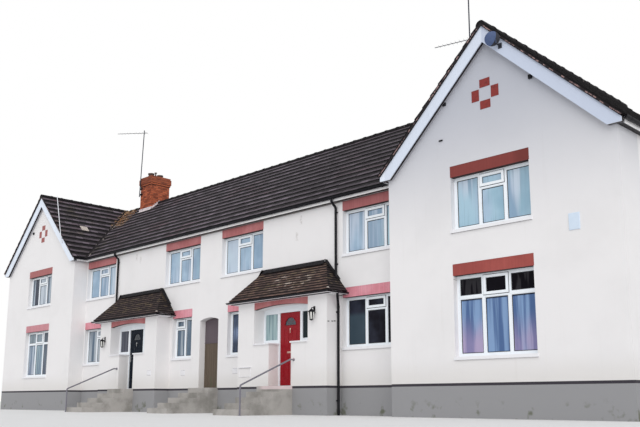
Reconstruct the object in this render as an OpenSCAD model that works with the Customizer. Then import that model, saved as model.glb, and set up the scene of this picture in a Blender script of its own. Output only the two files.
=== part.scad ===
// A row of two-storey terraced houses with two projecting gabled wings.
// X runs along the front, Y runs back into the houses and Z is up.
// The origin is on the ground, on the main front wall's face, in the middle of the passage.
// All sizes are in millimetres.

/* [Row] */
// Length of the main front from the middle of the passage to a wing
main_half = 7870; // [7700:10:8400]
// Depth of the houses from the main front wall to the rear wall
house_d = 6280; // [6000:10:6800]
// Width of each wing
wing_w = 5790; // [5500:10:6200]
// Projection of each wing in front of the main front wall
wing_out = 566; // [400:2:800]
// Thickness of the outside walls
wall_t = 250; // [220:10:320]
// Height of the ground floor and of the door sills above the ground
sill_h = 750; // [600:10:900]
// Height of the first floor above the ground floor
storey_h = 2680; // [2600:10:2750]
// Thickness of each floor
floor_t = 200; // [150:10:250]

/* [Roof] */
// Height of the lower edge of the tiles above the ground
tile_edge_h = 5765; // [5745:5:5850]
// Overhang of the lower edge of the tiles in front of a wall
tile_out = 185; // [170:5:230]
// Height of the main ridge above the ground
main_ridge_h = 8600; // [8300:10:8640]
// Height of the ridges of the wings above the ground
wing_ridge_h = 8720; // [8680:10:8900]
// Thickness of the tiled slopes with their rafters, measured plumb
roof_t = 150; // [120:5:180]
// Thickness of the tiles where they pass over a fascia, measured plumb
eave_t = 30; // [20:5:40]
// Thickness of the tiles where they pass over a bargeboard, measured plumb
verge_t = 80; // [60:5:100]
// Overhang of the tiles in front of a gable wall
verge_out = 185; // [180:5:260]
// Outer radius of the half-round ridge tiles
ridge_r = 120; // [100:5:140]
// Length of one ridge tile
ridge_len = 450; // [400:10:500]

/* [Eaves] */
// Distance from a wall's face to the outer face of its fascia
fascia_out = 150; // [130:5:155]
// Thickness of the fascias
fascia_t = 20; // [16:1:25]
// Height of the soffits above the ground
soffit_h = 5636; // [5630:1:5645]
// Thickness of the soffit boards
soffit_t = 12; // [9:1:15]
// Depth by which a fascia hangs below its soffit
fascia_lip = 12; // [5:1:20]
// Depth of the bargeboards, measured plumb
barge_d = 382; // [300:2:420]
// Thickness of the bargeboards
barge_t = 25; // [20:1:30]
// Outer radius of the gutters
gutter_r = 56; // [50:1:60]
// Thickness of the gutters' walls
gutter_t = 4; // [3:0.5:6]
// Depth of a gutter's rim below the edge of the tiles
gutter_drop = 40; // [35:1:50]
// Radius of the downpipes
pipe_r = 34; // [30:1:38]
// Radius of the bends in the downpipes' swan necks
neck_r = 60; // [50:5:70]

/* [Windows] */
// Distance from the middle of the row to the middle of the upper windows beside the passage
up_in_x = 1546; // [1500:2:1600]
// Width of the upper windows beside the passage
up_in_w = 1960; // [1800:2:2000]
// Distance from a wing to the middle of the main front's windows beside it
outer_off = 1064; // [1054:2:1090]
// Width of the windows beside the wings
outer_w = 2060; // [1900:5:2080]
// Distance from the middle of the row to the middle of the lower windows beside the passage
low_in_x = 1452; // [1430:2:1480]
// Width of the lower windows beside the passage
low_in_w = 1056; // [950:2:1070]
// Width of the windows in the wings
wing_win_w = 2004; // [1800:2:2100]
// Distance of the wings' windows from the wing's middle towards the passage
wing_win_off = 60; // [0:5:100]
// Height of the main front's upper sills above the ground
up_sill_h = 4170; // [4140:5:4250]
// Height of the wings' upper sills above the ground
wing_up_sill_h = 4130; // [4115:5:4250]
// Height of the heads of all upper windows above the ground
up_head_h = 5356; // [5300:2:5362]
// Height of the main front's lower sills above the ground
low_sill_h = 1720; // [1600:10:1800]
// Height of the heads of the main front's lower windows above the ground
low_head_h = 3018; // [2950:2:3050]
// Height of the wings' lower sills above the ground
wing_low_sill_h = 1308; // [1250:2:1500]
// Height of the heads of the wings' lower windows above the ground
wing_low_head_h = 3096; // [3000:2:3150]
// Depth of the window reveals
reveal = 140; // [100:5:170]
// Depth of the window frames from front to back
frame_d = 70; // [60:2:80]
// Width of the members of a window frame
frame_w = 58; // [50:1:65]
// Thickness of the sealed glass
glass_t = 24; // [20:1:28]
// Height of the sills
sill_t = 70; // [60:5:80]
// Projection of the sills in front of the wall
sill_out = 30; // [20:5:60]
// Length by which a sill passes its window at each end
sill_end = 24; // [10:1:35]
// Height of the painted lintels
lintel_h = 260; // [215:1:264]
// Length by which a lintel passes its window at each end
lintel_end = 12; // [5:1:30]
// Depth of the lintels and arches from front to back
lintel_d = 102; // [90:2:110]
// Depth by which lintels lie behind the face of the wall
lintel_set = 6; // [3:1:12]

/* [Gable tiles] */
// Length of each of the four tiles in a gable
tile_long = 265; // [220:5:290]
// Width of each tile
tile_short = 192; // [160:2:200]
// Distance from the middle of the pattern to the middle of each tile
tile_off = 254; // [245:1:280]
// Height of the middle of the pattern above the ground
tile_mid_h = 7102; // [7000:2:7200]
// Depth by which the tiles stand out from the wall
tile_proud = 8; // [5:1:15]

/* [Passage] */
// Width of the passage
passage_w = 940; // [900:10:1000]
// Height of the ends of its arch above the sill
passage_spring = 2094; // [2050:2:2110]
// Rise of its arch
passage_rise = 78; // [60:2:100]

/* [Porches] */
// Distance from the middle of the row to the middle of a porch
porch_x = 3906; // [3890:2:3920]
// Width of a porch
porch_w = 3588; // [3540:2:3600]
// Projection of a porch in front of the main front wall
porch_out = 532; // [500:2:560]
// Width of the opening in the front of a porch
porch_open_w = 2186; // [2150:2:2220]
// Height of the ends of a porch's arch above the sill
porch_spring = 2130; // [2110:2:2140]
// Rise of a porch's arch
porch_rise = 80; // [60:2:100]
// Height of the porch walls above the sill
porch_wall_h = 2340; // [2330:5:2360]
// Distance from the porch's front to the face of its white screen
screen_set = 371; // [350:1:390]
// Height of the dwarf walls above the sill
dwarf_h = 1140; // [1000:10:1200]
// Thickness of the ledges on the dwarf walls
ledge_t = 25; // [20:1:35]
// Width of the gap between the dwarf walls
dwarf_gap = 901; // [885:1:920]
// Height of the porch roof's tile edge above the sill
porch_edge_h = 2433; // [2425:1:2480]
// Height of the top of the porch roof above the sill
porch_top_h = 3325; // [3200:5:3330]
// Overhang of the porch roof at its front
porch_front_out = 180; // [170:5:200]
// Overhang of the porch roof at its ends
porch_end_out = 223; // [210:1:235]
// Length of the porch roof's top edge
porch_top_w = 2509; // [2400:1:2600]
// Thickness of the porch roof, measured plumb
porch_roof_t = 110; // [90:5:130]

/* [Doors] */
// Width of the front door leaves
door_w = 813; // [760:1:820]
// Height of the front door leaves
door_h = 1990; // [1950:5:2010]
// Thickness of the front door leaves
door_t = 44; // [40:1:50]
// Outer radius of the hinges' knuckles
hinge_r = 7; // [6:0.5:9]
// Height of one knuckle
knuckle_h = 36; // [30:1:45]
// Running gap round each leaf
door_gap = 7; // [6:0.5:9]
// Height of a door's threshold above the sill
threshold_h = 22; // [18:1:30]
// Width of the half-round light in a front door
fan_w = 440; // [380:10:480]
// Height of the foot of the half-round light above the sill
fan_h = 1660; // [1600:5:1700]

/* [Steps and rails] */
// Width of each flight of steps
step_w = 1030; // [950:10:1030]
// Number of risers from the ground to the door sill
riser_n = 5; // [4:1:6]
// Depth of each tread
tread_d = 360; // [280:5:380]
// Depth of the landing in front of a door
landing_d = 360; // [300:10:450]
// Height of a handrail above the steps' nosings
rail_h = 690; // [650:10:900]
// Radius of the handrails' tube
rail_r = 21; // [18:1:25]
// Length of the level part of a handrail
rail_level = 170; // [120:10:250]
// Radius of the bends in the handrails
rail_bend = 60; // [40:5:90]

/* [Chimneys and masts] */
// Distance of the left chimney's middle beyond the end of the main front
chimney_left_off = 430; // [420:5:600]
// Distance of the right chimney's middle beyond the end of the main front
chimney_right_off = 535; // [420:5:600]
// Width of a chimney along the row
chimney_w = 820; // [700:10:840]
// Depth of a chimney across the ridge
chimney_d = 880; // [750:10:950]
// Height of the top of the chimneys above the ground
chimney_h = 9705; // [9500:5:9850]
// Projection of each oversailing course
course_out = 28; // [20:1:40]
// Height of one course of bricks
course_h = 75; // [70:1:80]
// Height of the top of the left mast above the ground
left_mast_h = 11810; // [11500:10:12100]
// Angle by which the left mast leans
left_mast_lean = 3.3; // [0:0.1:5]
// Height of the top of the right mast above the ground
right_mast_h = 12200; // [11900:10:12500]
// Height of the right aerial's boom above the ground
right_boom_h = 10580; // [10450:10:10900]
// Radius of the aerial masts
mast_r = 19; // [16:1:25]
// Length of the slim pole at the left gable
pole_len = 2100; // [1500:10:2200]
// Angle by which that pole leans
pole_lean = 17; // [10:0.5:20]
// Distance of the dish's bracket beyond the right gable's apex
dish_off = 470; // [400:10:600]
// Depth of the dish's bracket below the apex
dish_drop = 715; // [680:5:760]
// Radius of the satellite dish
dish_r = 165; // [150:5:200]

/* [Hidden] */
$fn = 48;
CUT = 1;
elbow_t = 2;
TALL = 20000;
AIR = 0.3;

// Heights and slopes
main_run = house_d / 2 + tile_out;
wing_run = wing_w / 2 + tile_out;
main_pitch = (main_ridge_h - tile_edge_h) / main_run;
wing_pitch = (wing_ridge_h - tile_edge_h) / wing_run;
ridge_y = house_d / 2;
wing_x = main_half + wing_w / 2;
row_half = main_half + wing_w;
eave_lip = tile_out - fascia_out + fascia_t;
first_h = sill_h + storey_h;
split_h = low_head_h + lintel_h + 10;
outer_x = main_half - outer_off;
wing_win_x = wing_x - wing_win_off;
chimney_left_x = -main_half - chimney_left_off;
chimney_right_x = main_half + chimney_right_off;
passage_r = arc_r(passage_w, passage_rise);
porch_r = arc_r(porch_open_w, porch_rise);
barge_y = -wing_out - verge_out + 35;
ridge_rise = ridge_r - 45;
gutter_off = fascia_out + gutter_r + AIR;
rim_h = tile_edge_h - gutter_drop + 5;
porch_half = porch_w / 2 + porch_end_out;
porch_rim_h = sill_h + porch_edge_h - gutter_drop;
porch_pitch = (porch_top_h - porch_edge_h) / (porch_half - porch_top_w / 2);

// Porch and door planes
screen_y = -porch_out + screen_set;
screen_d = frame_d;
dwarf_back = screen_y + screen_d;
door_y = dwarf_back - door_t;
hinge_y = hinge_r + AIR;
door_foot = sill_h + threshold_h + door_gap;
door_open_w = door_w + 2 * door_gap;
door_open_h = threshold_h + door_gap + door_h + door_gap;

// Windows as [middle x, width, sill height, head height, lights]
main_upper = [[up_in_x, up_in_w, up_sill_h, up_head_h, 3], [outer_x, outer_w, up_sill_h, up_head_h, 3]];
main_inner_low = [[low_in_x, low_in_w, low_sill_h, low_head_h, 2]];
main_outer_low = [[outer_x, outer_w, low_sill_h, low_head_h, 3]];
wing_upper = [[wing_win_x, wing_win_w, wing_up_sill_h, up_head_h, 3]];
wing_lower = [[wing_win_x, wing_win_w, wing_low_sill_h, wing_low_head_h, 3]];

// Radius of an arc from its span and rise
function arc_r(span, rise) = (span * span / 4 + rise * rise) / (2 * rise);

// Height of a roof's surface at a distance from its ridge
function main_top(y) = main_ridge_h - abs(y - ridge_y) * main_pitch;
function wing_top(x) = wing_ridge_h - abs(x - wing_x) * wing_pitch;

// A child and its mirror image across the middle of the row
module both() {
  children();
  mirror([1, 0, 0]) children();
}

// A box from its lowest to its highest corner
module span(low, high) {
  translate(low) cube(high - low);
}

// A profile drawn in Y and Z, carried along X
module along_x(from, to) {
  translate([from, 0, 0]) rotate([90, 0, 90]) linear_extrude(to - from) children();
}

// A profile drawn in X and Z, carried along Y
module along_y(from, to) {
  translate([0, to, 0]) rotate([90, 0, 0]) linear_extrude(to - from) children();
}

// Everything under a double slope, lowered by a plumb distance
module under_slopes(run, ridge, edge, drop) {
  polygon([[-run, -TALL], [-run, edge - drop], [0, ridge - drop], [run, edge - drop], [run, -TALL]]);
}

// The section of a double slope: tiles alone over the fascias, tiles and rafters between them
module slope_section(run, ridge, pitch) {
  edge = tile_edge_h;
  inner = run - eave_lip;
  polygon([
    [-run, edge], [0, ridge], [run, edge],
    [run, edge - eave_t], [inner, edge + eave_lip * pitch - eave_t],
    [inner, edge + eave_lip * pitch - roof_t], [0, ridge - roof_t], [-inner, edge + eave_lip * pitch - roof_t],
    [-inner, edge + eave_lip * pitch - eave_t], [-run, edge - eave_t]]);
}

module under_main(drop) {
  along_x(-TALL, TALL) translate([ridge_y, 0]) under_slopes(main_run, main_ridge_h, tile_edge_h, drop);
}

module under_wing(drop) {
  along_y(-TALL, TALL) translate([wing_x, 0]) under_slopes(wing_run, wing_ridge_h, tile_edge_h, drop);
}

// Everything just below the rafters of the main roof and the wings' roofs
module under_roofs() {
  under_main(roof_t + AIR);
  both() under_wing(roof_t + AIR);
}

// Walls

// Openings, sill pockets and lintel pockets for windows in a wall whose face is at y = face
module window_cuts(list, face) {
  for (w = list) {
    x0 = w[0] - w[1] / 2;
    x1 = w[0] + w[1] / 2;
    span([x0, face - CUT, w[2]], [x1, face + wall_t + CUT, w[3]]);
    span([x0 - sill_end, face - CUT, w[2] - sill_t], [x1 + sill_end, face + reveal, w[2]]);
    span([x0 - lintel_end, face - CUT, w[3]], [x1 + lintel_end, face + lintel_set + lintel_d, w[3] + lintel_h]);
  }
}

// Plain openings for the windows of the rear wall, whose outer face is at y = house_d
module rear_cuts(list) {
  for (w = list) {
    x0 = w[0] - w[1] / 2;
    span([x0, house_d - wall_t - CUT, w[2]], [x0 + w[1], house_d + CUT, w[3]]);
    span([x0 - sill_end, house_d - reveal, w[2] - sill_t], [x0 + w[1] + sill_end, house_d + CUT, w[2]]);
  }
}

module front_wall_upper() {
  color("gainsboro") difference() {
    intersection() {
      span([-main_half, 0, split_h], [main_half, wall_t, TALL]);
      under_roofs();
    }
    both() window_cuts(main_upper, 0);
  }
}

module front_wall_inner() {
  color("gainsboro") both() difference() {
    span([passage_w / 2, 0, 0], [porch_x - porch_open_w / 2, wall_t, split_h]);
    window_cuts(main_inner_low, 0);
  }
}

module front_wall_outer() {
  color("gainsboro") both() difference() {
    span([porch_x + porch_open_w / 2, 0, 0], [main_half, wall_t, split_h]);
    window_cuts(main_outer_low, 0);
  }
}

// The wall over the passage, with the low arch cut in its underside
module passage_arch() {
  color("gainsboro") difference() {
    span([-passage_w / 2, 0, sill_h + passage_spring], [passage_w / 2, wall_t, split_h]);
    arch_cut(passage_r, passage_rise, sill_h + passage_spring, -CUT, wall_t + CUT);
  }
}

// A cylinder lying along Y whose crown is the crown of an arch
module arch_cut(radius, rise, spring, from, to) {
  translate([0, from, spring + rise - radius]) rotate([-90, 0, 0]) cylinder(r = radius, h = to - from, $fn = 180);
}

module wing_front() {
  difference() {
    intersection() {
      span([main_half, -wing_out, 0], [row_half, -wing_out + wall_t, TALL]);
      under_wing(roof_t + AIR);
    }
    window_cuts(concat(wing_upper, wing_lower), -wing_out);
    gable_cross(-CUT - tile_proud);
  }
}

module wing_front_left() {
  color("gainsboro") mirror([1, 0, 0]) wing_front();
}

module wing_front_right() {
  color("gainsboro") wing_front();
}

// The gable's four tiles round a plain middle, from a depth in front of the wall to 20 inside it:
// upright ones at the sides and flat ones above and below
module gable_cross(from) {
  for (turn = [0, 90, 180, 270])
    translate([wing_win_x, -wing_out + from, tile_mid_h]) rotate([0, turn, 0])
      span([tile_off - tile_short / 2, 0, -tile_long / 2], [tile_off + tile_short / 2, 20 - from, tile_long / 2]);
}

// The end walls of the row and the short returns of the wings
module flank_walls() {
  color("gainsboro") both() {
    intersection() {
      span([row_half - wall_t, -wing_out + wall_t, 0], [row_half, house_d - wall_t, TALL]);
      under_wing(roof_t + AIR);
    }
    intersection() {
      span([main_half, -wing_out + wall_t, 0], [main_half + wall_t, wall_t, TALL]);
      under_roofs();
    }
  }
}

module rear_wall() {
  color("gainsboro") difference() {
    intersection() {
      span([-row_half, house_d - wall_t, 0], [row_half, house_d, rear_top_h()]);
      under_roofs();
    }
    both() rear_cuts(concat(main_upper, main_inner_low, main_outer_low, wing_upper, wing_lower));
  }
}

// The level at which the rear wall ends and the rear gables start
function rear_top_h() = main_top(house_d) - roof_t;

module rear_gables() {
  color("gainsboro") both() intersection() {
    span([main_half, house_d - wall_t, rear_top_h()], [row_half, house_d, TALL]);
    under_wing(roof_t + AIR);
  }
}

// Floors

// A floor that fills the inside of the walls
module floor_plate(top) {
  span([-row_half + wall_t, wall_t, top - floor_t], [row_half - wall_t, house_d - wall_t, top]);
  both() span([main_half + wall_t, -wing_out + wall_t, top - floor_t], [row_half - wall_t, wall_t, top]);
}

module ground_floor() {
  color("tan") floor_plate(sill_h);
}

module first_floor() {
  color("tan") floor_plate(first_h);
}

// Roofs

module main_roof() {
  difference() {
    along_x(-wing_x, wing_x) translate([ridge_y, 0]) slope_section(main_run, main_ridge_h, main_pitch);
    both() under_wing(0);
  }
}

module main_roof_front() {
  color("dimgray") intersection() {
    main_roof();
    span([-TALL, -TALL, 0], [TALL, ridge_y, TALL]);
  }
}

module main_roof_rear() {
  color("dimgray") intersection() {
    main_roof();
    span([-TALL, ridge_y, 0], [TALL, TALL, TALL]);
  }
}

// A wing's roof: full slopes between the bargeboards, and tiles alone over them
module wing_roof() {
  difference() {
    union() {
      along_y(barge_y + barge_t, house_d - wing_out - barge_y - barge_t)
        translate([wing_x, 0]) slope_section(wing_run, wing_ridge_h, wing_pitch);
      along_y(-wing_out - verge_out, house_d + verge_out)
        translate([wing_x, 0]) intersection() {
          slope_section(wing_run, wing_ridge_h, wing_pitch);
          difference() {
            under_slopes(wing_run, wing_ridge_h, tile_edge_h, 0);
            under_slopes(wing_run + CUT, wing_ridge_h, tile_edge_h - CUT * wing_pitch, verge_t);
          }
        }
    }
    intersection() {
      under_main(roof_t);
      span([0, -TALL, 0], [wing_x, TALL, TALL]);
    }
  }
}

module wing_roof_left() {
  color("dimgray") mirror([1, 0, 0]) wing_roof();
}

module wing_roof_right() {
  color("dimgray") wing_roof();
}

// Half-round ridge tiles with a collar at each joint, cut to sit on the slopes
module ridge_run(length, pitch) {
  count = round(length / ridge_len);
  step = length / count;
  apex = ridge_rise + AIR;
  difference() {
    union() {
      rotate([0, 90, 0]) cylinder(r = ridge_r, h = length);
      for (i = [1 : count - 1])
        translate([i * step - 30, 0, 0]) rotate([0, 90, 0]) cylinder(r = ridge_r + 12, h = 60);
    }
    translate([-CUT, 0, 0]) rotate([90, 0, 90]) linear_extrude(length + 2 * CUT)
      polygon([[0, apex], [TALL, apex - TALL * pitch], [-TALL, apex - TALL * pitch]]);
  }
}

module ridge_tiles() {
  end_x = wing_x - (wing_ridge_h - main_ridge_h) / wing_pitch - ridge_r;
  color("dimgray") {
    difference() {
      translate([-end_x, ridge_y, main_ridge_h - ridge_rise]) ridge_run(2 * end_x, main_pitch);
      for (x = [chimney_left_x, chimney_right_x]) chimney_body(x, 0);
    }
    both() translate([wing_x, -wing_out - verge_out, wing_ridge_h - ridge_rise])
      rotate([0, 0, 90]) ridge_run(house_d + wing_out + 2 * verge_out, wing_pitch);
  }
}

// Boards along the roof's edges

// The face of a gable's pair of bargeboards, with boxed feet cut level at the soffit
module barge_face(low) {
  run = wing_w / 2 + fascia_out;
  intersection() {
    difference() {
      under_slopes(run, wing_ridge_h, wing_ridge_h - run * wing_pitch, verge_t + AIR);
      under_slopes(TALL, wing_ridge_h, wing_ridge_h - TALL * wing_pitch, low);
    }
    translate([-run, soffit_h - fascia_lip]) square([2 * run, TALL]);
  }
}

// Bargeboards with the soffit that closes the gap back to the wall
module barge_pair() {
  low = verge_t + barge_d;
  translate([wing_x, 0, 0]) {
    along_y(barge_y, barge_y + barge_t) barge_face(low);
    along_y(barge_y + barge_t, -wing_out) difference() {
      barge_face(low);
      difference() {
        translate([-TALL, soffit_h - fascia_lip + soffit_t]) square([2 * TALL, TALL]);
        under_slopes(TALL, wing_ridge_h, wing_ridge_h - TALL * wing_pitch, low - soffit_t);
      }
    }
  }
}

module bargeboards() {
  color("white") both() {
    barge_pair();
    translate([0, house_d - wing_out, 0]) mirror([0, 1, 0]) barge_pair();
  }
}

// The section of a fascia with its soffit, for a wall whose face is at zero and that faces minus
module eaves_section(pitch) {
  top = tile_edge_h + (tile_out - fascia_out) * pitch - eave_t - AIR;
  translate([-fascia_out, soffit_h - fascia_lip]) square([fascia_t, top - soffit_h + fascia_lip]);
  translate([-fascia_out, soffit_h]) square([fascia_out, soffit_t]);
}

module eaves_boards() {
  inner = main_half - fascia_out;
  color("white") {
    difference() {
      union() {
        along_x(-inner - fascia_t, inner + fascia_t) eaves_section(main_pitch);
        translate([0, house_d, 0]) mirror([0, 1, 0]) along_x(-inner, inner) eaves_section(main_pitch);
      }
      both() over_wing_edge();
    }
    both() {
      difference() {
        along_y(barge_y + barge_t, 0) translate([main_half, 0]) eaves_section(wing_pitch);
        span([0, -fascia_out + fascia_t, 0], [TALL, TALL, TALL]);
        barge_room();
      }
      difference() {
        along_y(barge_y + barge_t, house_d - wing_out - barge_y - barge_t)
          translate([row_half, 0]) mirror([1, 0]) eaves_section(wing_pitch);
        barge_room();
        translate([0, house_d - wing_out, 0]) mirror([0, 1, 0]) barge_room();
      }
    }
    both() porch_eaves();
  }
}

// The space above the underside of a wing's lowest tiles
module over_wing_edge() {
  difference() {
    span([wing_x - wing_run, -TALL, 0], [TALL, TALL, TALL]);
    under_wing(eave_t + AIR);
  }
}

// The space that a pair of bargeboards and their soffit takes
module barge_room() {
  span([0, barge_y - CUT, 0], [TALL, -wing_out, TALL]);
}

// The fascia and soffit round three sides of a porch
module porch_eaves() {
  low = sill_h + porch_wall_h - 10;
  half = porch_half - 40;
  front = -porch_out - porch_front_out + 40;
  top = sill_h + porch_edge_h - 14;
  translate([porch_x, 0, 0]) difference() {
    span([-half, front, low], [half, 0, top]);
    span([-half + fascia_t, front + fascia_t, low + soffit_t], [half - fascia_t, CUT, top + CUT]);
    span([-porch_w / 2, -porch_out, low - CUT], [porch_w / 2, CUT, top + CUT]);
  }
}

// Gutters and pipes

module gutter_section() {
  difference() {
    circle(r = gutter_r);
    circle(r = gutter_r - gutter_t);
    translate([-TALL / 2, 0]) square(TALL);
  }
}

// A length of gutter along X; each end is square, or slanted by plus or minus one for a corner
module gutter_run(length, start, finish) {
  far = 2 * gutter_r;
  intersection() {
    along_x(-far, length + far) gutter_section();
    translate([0, 0, -far]) linear_extrude(2 * far)
      polygon([[-start * far, -far], [length - finish * far, -far], [length + finish * far, far], [start * far, far]]);
  }
}

module gutters() {
  inner = main_half - gutter_off;
  front_len = -gutter_off - (barge_y + barge_t);
  side_len = house_d - 2 * wing_out - 2 * (barge_y + barge_t) + wing_out;
  color("white") {
    translate([-inner, -gutter_off, rim_h]) gutter_run(2 * inner, -1, 1);
    translate([-inner, house_d + gutter_off, rim_h]) gutter_run(2 * inner, 0, 0);
    both() {
      translate([inner, -gutter_off, rim_h]) rotate([0, 0, -90]) gutter_run(front_len, -1, 0);
      translate([row_half + gutter_off, barge_y + barge_t, rim_h]) rotate([0, 0, 90]) gutter_run(side_len, 0, 0);
    }
  }
}

// The gutter round three sides of each porch
module porch_gutters() {
  half = porch_half - 40 + gutter_r + AIR;
  front = -porch_out - porch_front_out + 40 - gutter_r - AIR;
  color("black") both() translate([porch_x, front, porch_rim_h]) {
    translate([-half, 0, 0]) gutter_run(2 * half, 1, -1);
    translate([-half, 0, 0]) rotate([0, 0, 90]) gutter_run(-front, -1, 0);
    translate([half, 0, 0]) rotate([0, 0, 90]) gutter_run(-front, 1, 0);
  }
}

// A round pipe of [length, turn] runs that starts at the origin along Z; a plus turn bends it towards X.
// Each bend is an elbow a little thicker than the pipe, and the pipe's ends sit inside it.
module pipe(runs, radius, bend = 0, inset = 0) {
  turn = runs[0][1];
  way = turn < 0 ? 180 : 0;
  reach = turn == 0 ? 0 : CUT;
  translate([0, 0, -inset]) cylinder(r = radius, h = runs[0][0] + inset + reach);
  translate([0, 0, runs[0][0]]) rotate([0, 0, way]) {
    if (turn != 0)
      translate([bend, 0, 0]) rotate([90, 0, 180])
        rotate_extrude(angle = abs(turn)) translate([bend, 0]) circle(r = radius + elbow_t);
    if (len(runs) > 1)
      translate([bend - bend * cos(turn), 0, bend * sin(abs(turn))]) rotate([0, abs(turn), 0]) rotate([0, 0, way])
        pipe([for (i = [1 : len(runs) - 1]) runs[i]], radius, bend, reach);
  }
}

// A downpipe with a swan neck, held to a wall at y = 0 by two clips. Its outlet sits under a gutter that
// runs along X at y = -out with its rim at a height; turn swings the neck sideways about the lower pipe.
module downpipe(rim, foot, out, turn = 0) {
  back = pipe_r + 14;
  lean = 50;
  top = rim - 0.7 * gutter_r;
  reach = (out - back) / cos(turn);
  slant = (reach - 2 * neck_r * (1 - cos(lean))) / sin(lean);
  drop = 60 + 2 * neck_r * sin(lean) + slant * cos(lean);
  difference() {
    translate([0, -back, top]) rotate([0, 0, turn]) translate([0, -reach, 0]) rotate([180, 0, 90])
      pipe([[60, lean], [slant, -lean], [top - foot - drop, 0]], pipe_r, neck_r);
    along_x(-2 * out, 2 * out) translate([-out, rim]) circle(r = gutter_r + AIR);
  }
  for (z = [top - drop - 120, foot + 350])
    span([-pipe_r - 10, -back - 8, z], [pipe_r + 10, 0, z + 30]);
}

module downpipes() {
  main_pipe_x = porch_x + porch_w / 2 - 140;
  roof_h = sill_h + porch_edge_h + (porch_x + porch_half - main_pipe_x - pipe_r) * porch_pitch;
  color("black") both() {
    difference() {
      translate([main_pipe_x, 0, 0]) downpipe(rim_h, roof_h, gutter_off);
      translate([porch_x, 0, AIR]) porch_roof_form(0, 0);
    }
    translate([main_pipe_x, house_d, 0]) mirror([0, 1, 0]) downpipe(rim_h, 0, gutter_off);
    translate([row_half, house_d - 900, 0]) rotate([0, 0, 90]) downpipe(rim_h, 0, gutter_off);
    porch_pipe();
  }
}

// The pipe from a porch gutter down the porch's outer side
module porch_pipe() {
  out = porch_end_out - 40 + gutter_r + AIR;
  translate([porch_x + porch_w / 2, -150, 0]) rotate([0, 0, 90]) downpipe(porch_rim_h, 0, out, -50);
}

// Chimneys and what stands on the roof

// The solid outline of a stack with three oversailing courses, grown by a margin
module chimney_body(x, grow) {
  half_w = chimney_w / 2 + grow;
  half_d = chimney_d / 2 + grow;
  translate([x, ridge_y, 0]) {
    span([-half_w, -half_d, main_ridge_h - 1000], [half_w, half_d, chimney_h]);
    for (i = [1 : 2])
      span([-half_w - i * course_out, -half_d - i * course_out, chimney_h - (6 - i) * course_h],
           [half_w + i * course_out, half_d + i * course_out, chimney_h - (i == 1 ? 0 : 1) * course_h]);
  }
}

module chimney(x) {
  difference() {
    chimney_body(x, 0);
    under_main(0);
  }
}

module chimney_left() {
  color("sienna") chimney(chimney_left_x);
}

module chimney_right() {
  color("sienna") chimney(chimney_right_x);
}

// Two open clay pots and a small cowl between them on each stack
module chimney_pots() {
  color("saddlebrown") for (x = [chimney_left_x, chimney_right_x]) translate([x, ridge_y, chimney_h]) {
    for (side = [-1, 1]) translate([0, side * chimney_d / 4, 0]) difference() {
      union() {
        cylinder(r = 115, h = 190);
        translate([0, 0, 150]) cylinder(r = 135, h = 40);
      }
      translate([0, 0, 40]) cylinder(r = 95, h = 200);
    }
    cylinder(r = 30, h = 250);
    translate([0, 0, 250]) cylinder(r = 55, h = 30);
  }
}

// A mast with a boom of short rods; the boom starts at the mast and runs along a direction
module aerial(top, boom_h, turn, reach) {
  pipe([[top, 0]], mast_r);
  translate([0, 0, boom_h]) rotate([0, 0, turn]) {
    rotate([0, 90, 0]) translate([0, 0, -150]) cylinder(r = 10, h = reach + 150);
    for (i = [0 : 8])
      translate([reach * (i * 0.12 - 0.1), -150 + i * 8, 0]) rotate([-90, 0, 0]) cylinder(r = 3, h = 300 - i * 16, $fn = 16);
  }
}

// Brackets that hold a mast to a chimney face at a distance along X
module mast_bracket(gap, heights) {
  for (z = heights) {
    span([0, -20, z], [gap, 20, z + 40]);
    span([gap - 6, -90, z - 20], [gap, 90, z + 60]);
  }
}

module tv_aerials() {
  stand = 90;
  foot = chimney_h - chimney_w;
  color("slategray") {
    translate([chimney_left_x - chimney_w / 2 + 50, ridge_y - chimney_d / 2 - stand, foot]) {
      rotate([0, left_mast_lean, 0]) aerial(left_mast_h - foot, left_mast_h - foot - 120, 212, 1244);
      rotate([0, 0, 90]) mast_bracket(stand, [100, 350]);
    }
    translate([chimney_right_x - chimney_w / 2 - stand, ridge_y - 60, foot]) {
      aerial(right_mast_h - foot, right_boom_h - foot, 194, 1080);
      mast_bracket(stand, [100, 350]);
    }
    gable_pole();
  }
}

// A slim pole that leans in front of the left gable, held to the bargeboard by two brackets at its foot
module gable_pole() {
  x = -wing_x + wing_w * 0.37;
  y = -wing_out - verge_out - 40;
  foot = wing_ridge_h - wing_w * 0.4;
  translate([x, y, foot]) rotate([0, -pole_lean, 0]) {
    pipe([[pole_len, 0]], 14);
    for (z = [30, 190])
      span([-12, 0, z], [12, barge_y - y, z + 24]);
  }
}

// A shallow dish on an arm bolted to the bargeboard near the right gable's apex
module satellite_dish() {
  bowl = dish_r * 2.4;
  color("gray") translate([wing_x + dish_off, barge_y, wing_ridge_h - dish_drop]) {
    span([-45, -12, -60], [45, 0, 60]);
    rotate([90, -90, 0]) pipe([[120, 90], [70, 0]], 16, 30);
    translate([-dish_r * 0.45, -200, 130]) rotate([-78, 0, 25]) {
      rotate_extrude() intersection() {
        square([dish_r, 70]);
        difference() {
          translate([0, bowl - 3]) circle(r = bowl + 3, $fn = 90);
          translate([0, bowl]) circle(r = bowl, $fn = 90);
        }
      }
    }
  }
}

// Windows

// The face of a frame with its lights cut out, drawn in X and Z
module frame_face(w) {
  difference() {
    translate([w[0] - w[1] / 2, w[2]]) square([w[1], w[3] - w[2]]);
    light_faces(w);
  }
}

// A middle light has a top light over it; the tall windows have one over every light
function light_w(w) = (w[1] - (w[4] + 1) * frame_w) / w[4];
function tall(w) = w[3] - w[2] > 1600;
function top_light_h(w) = tall(w) ? 400 : 250;

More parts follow.
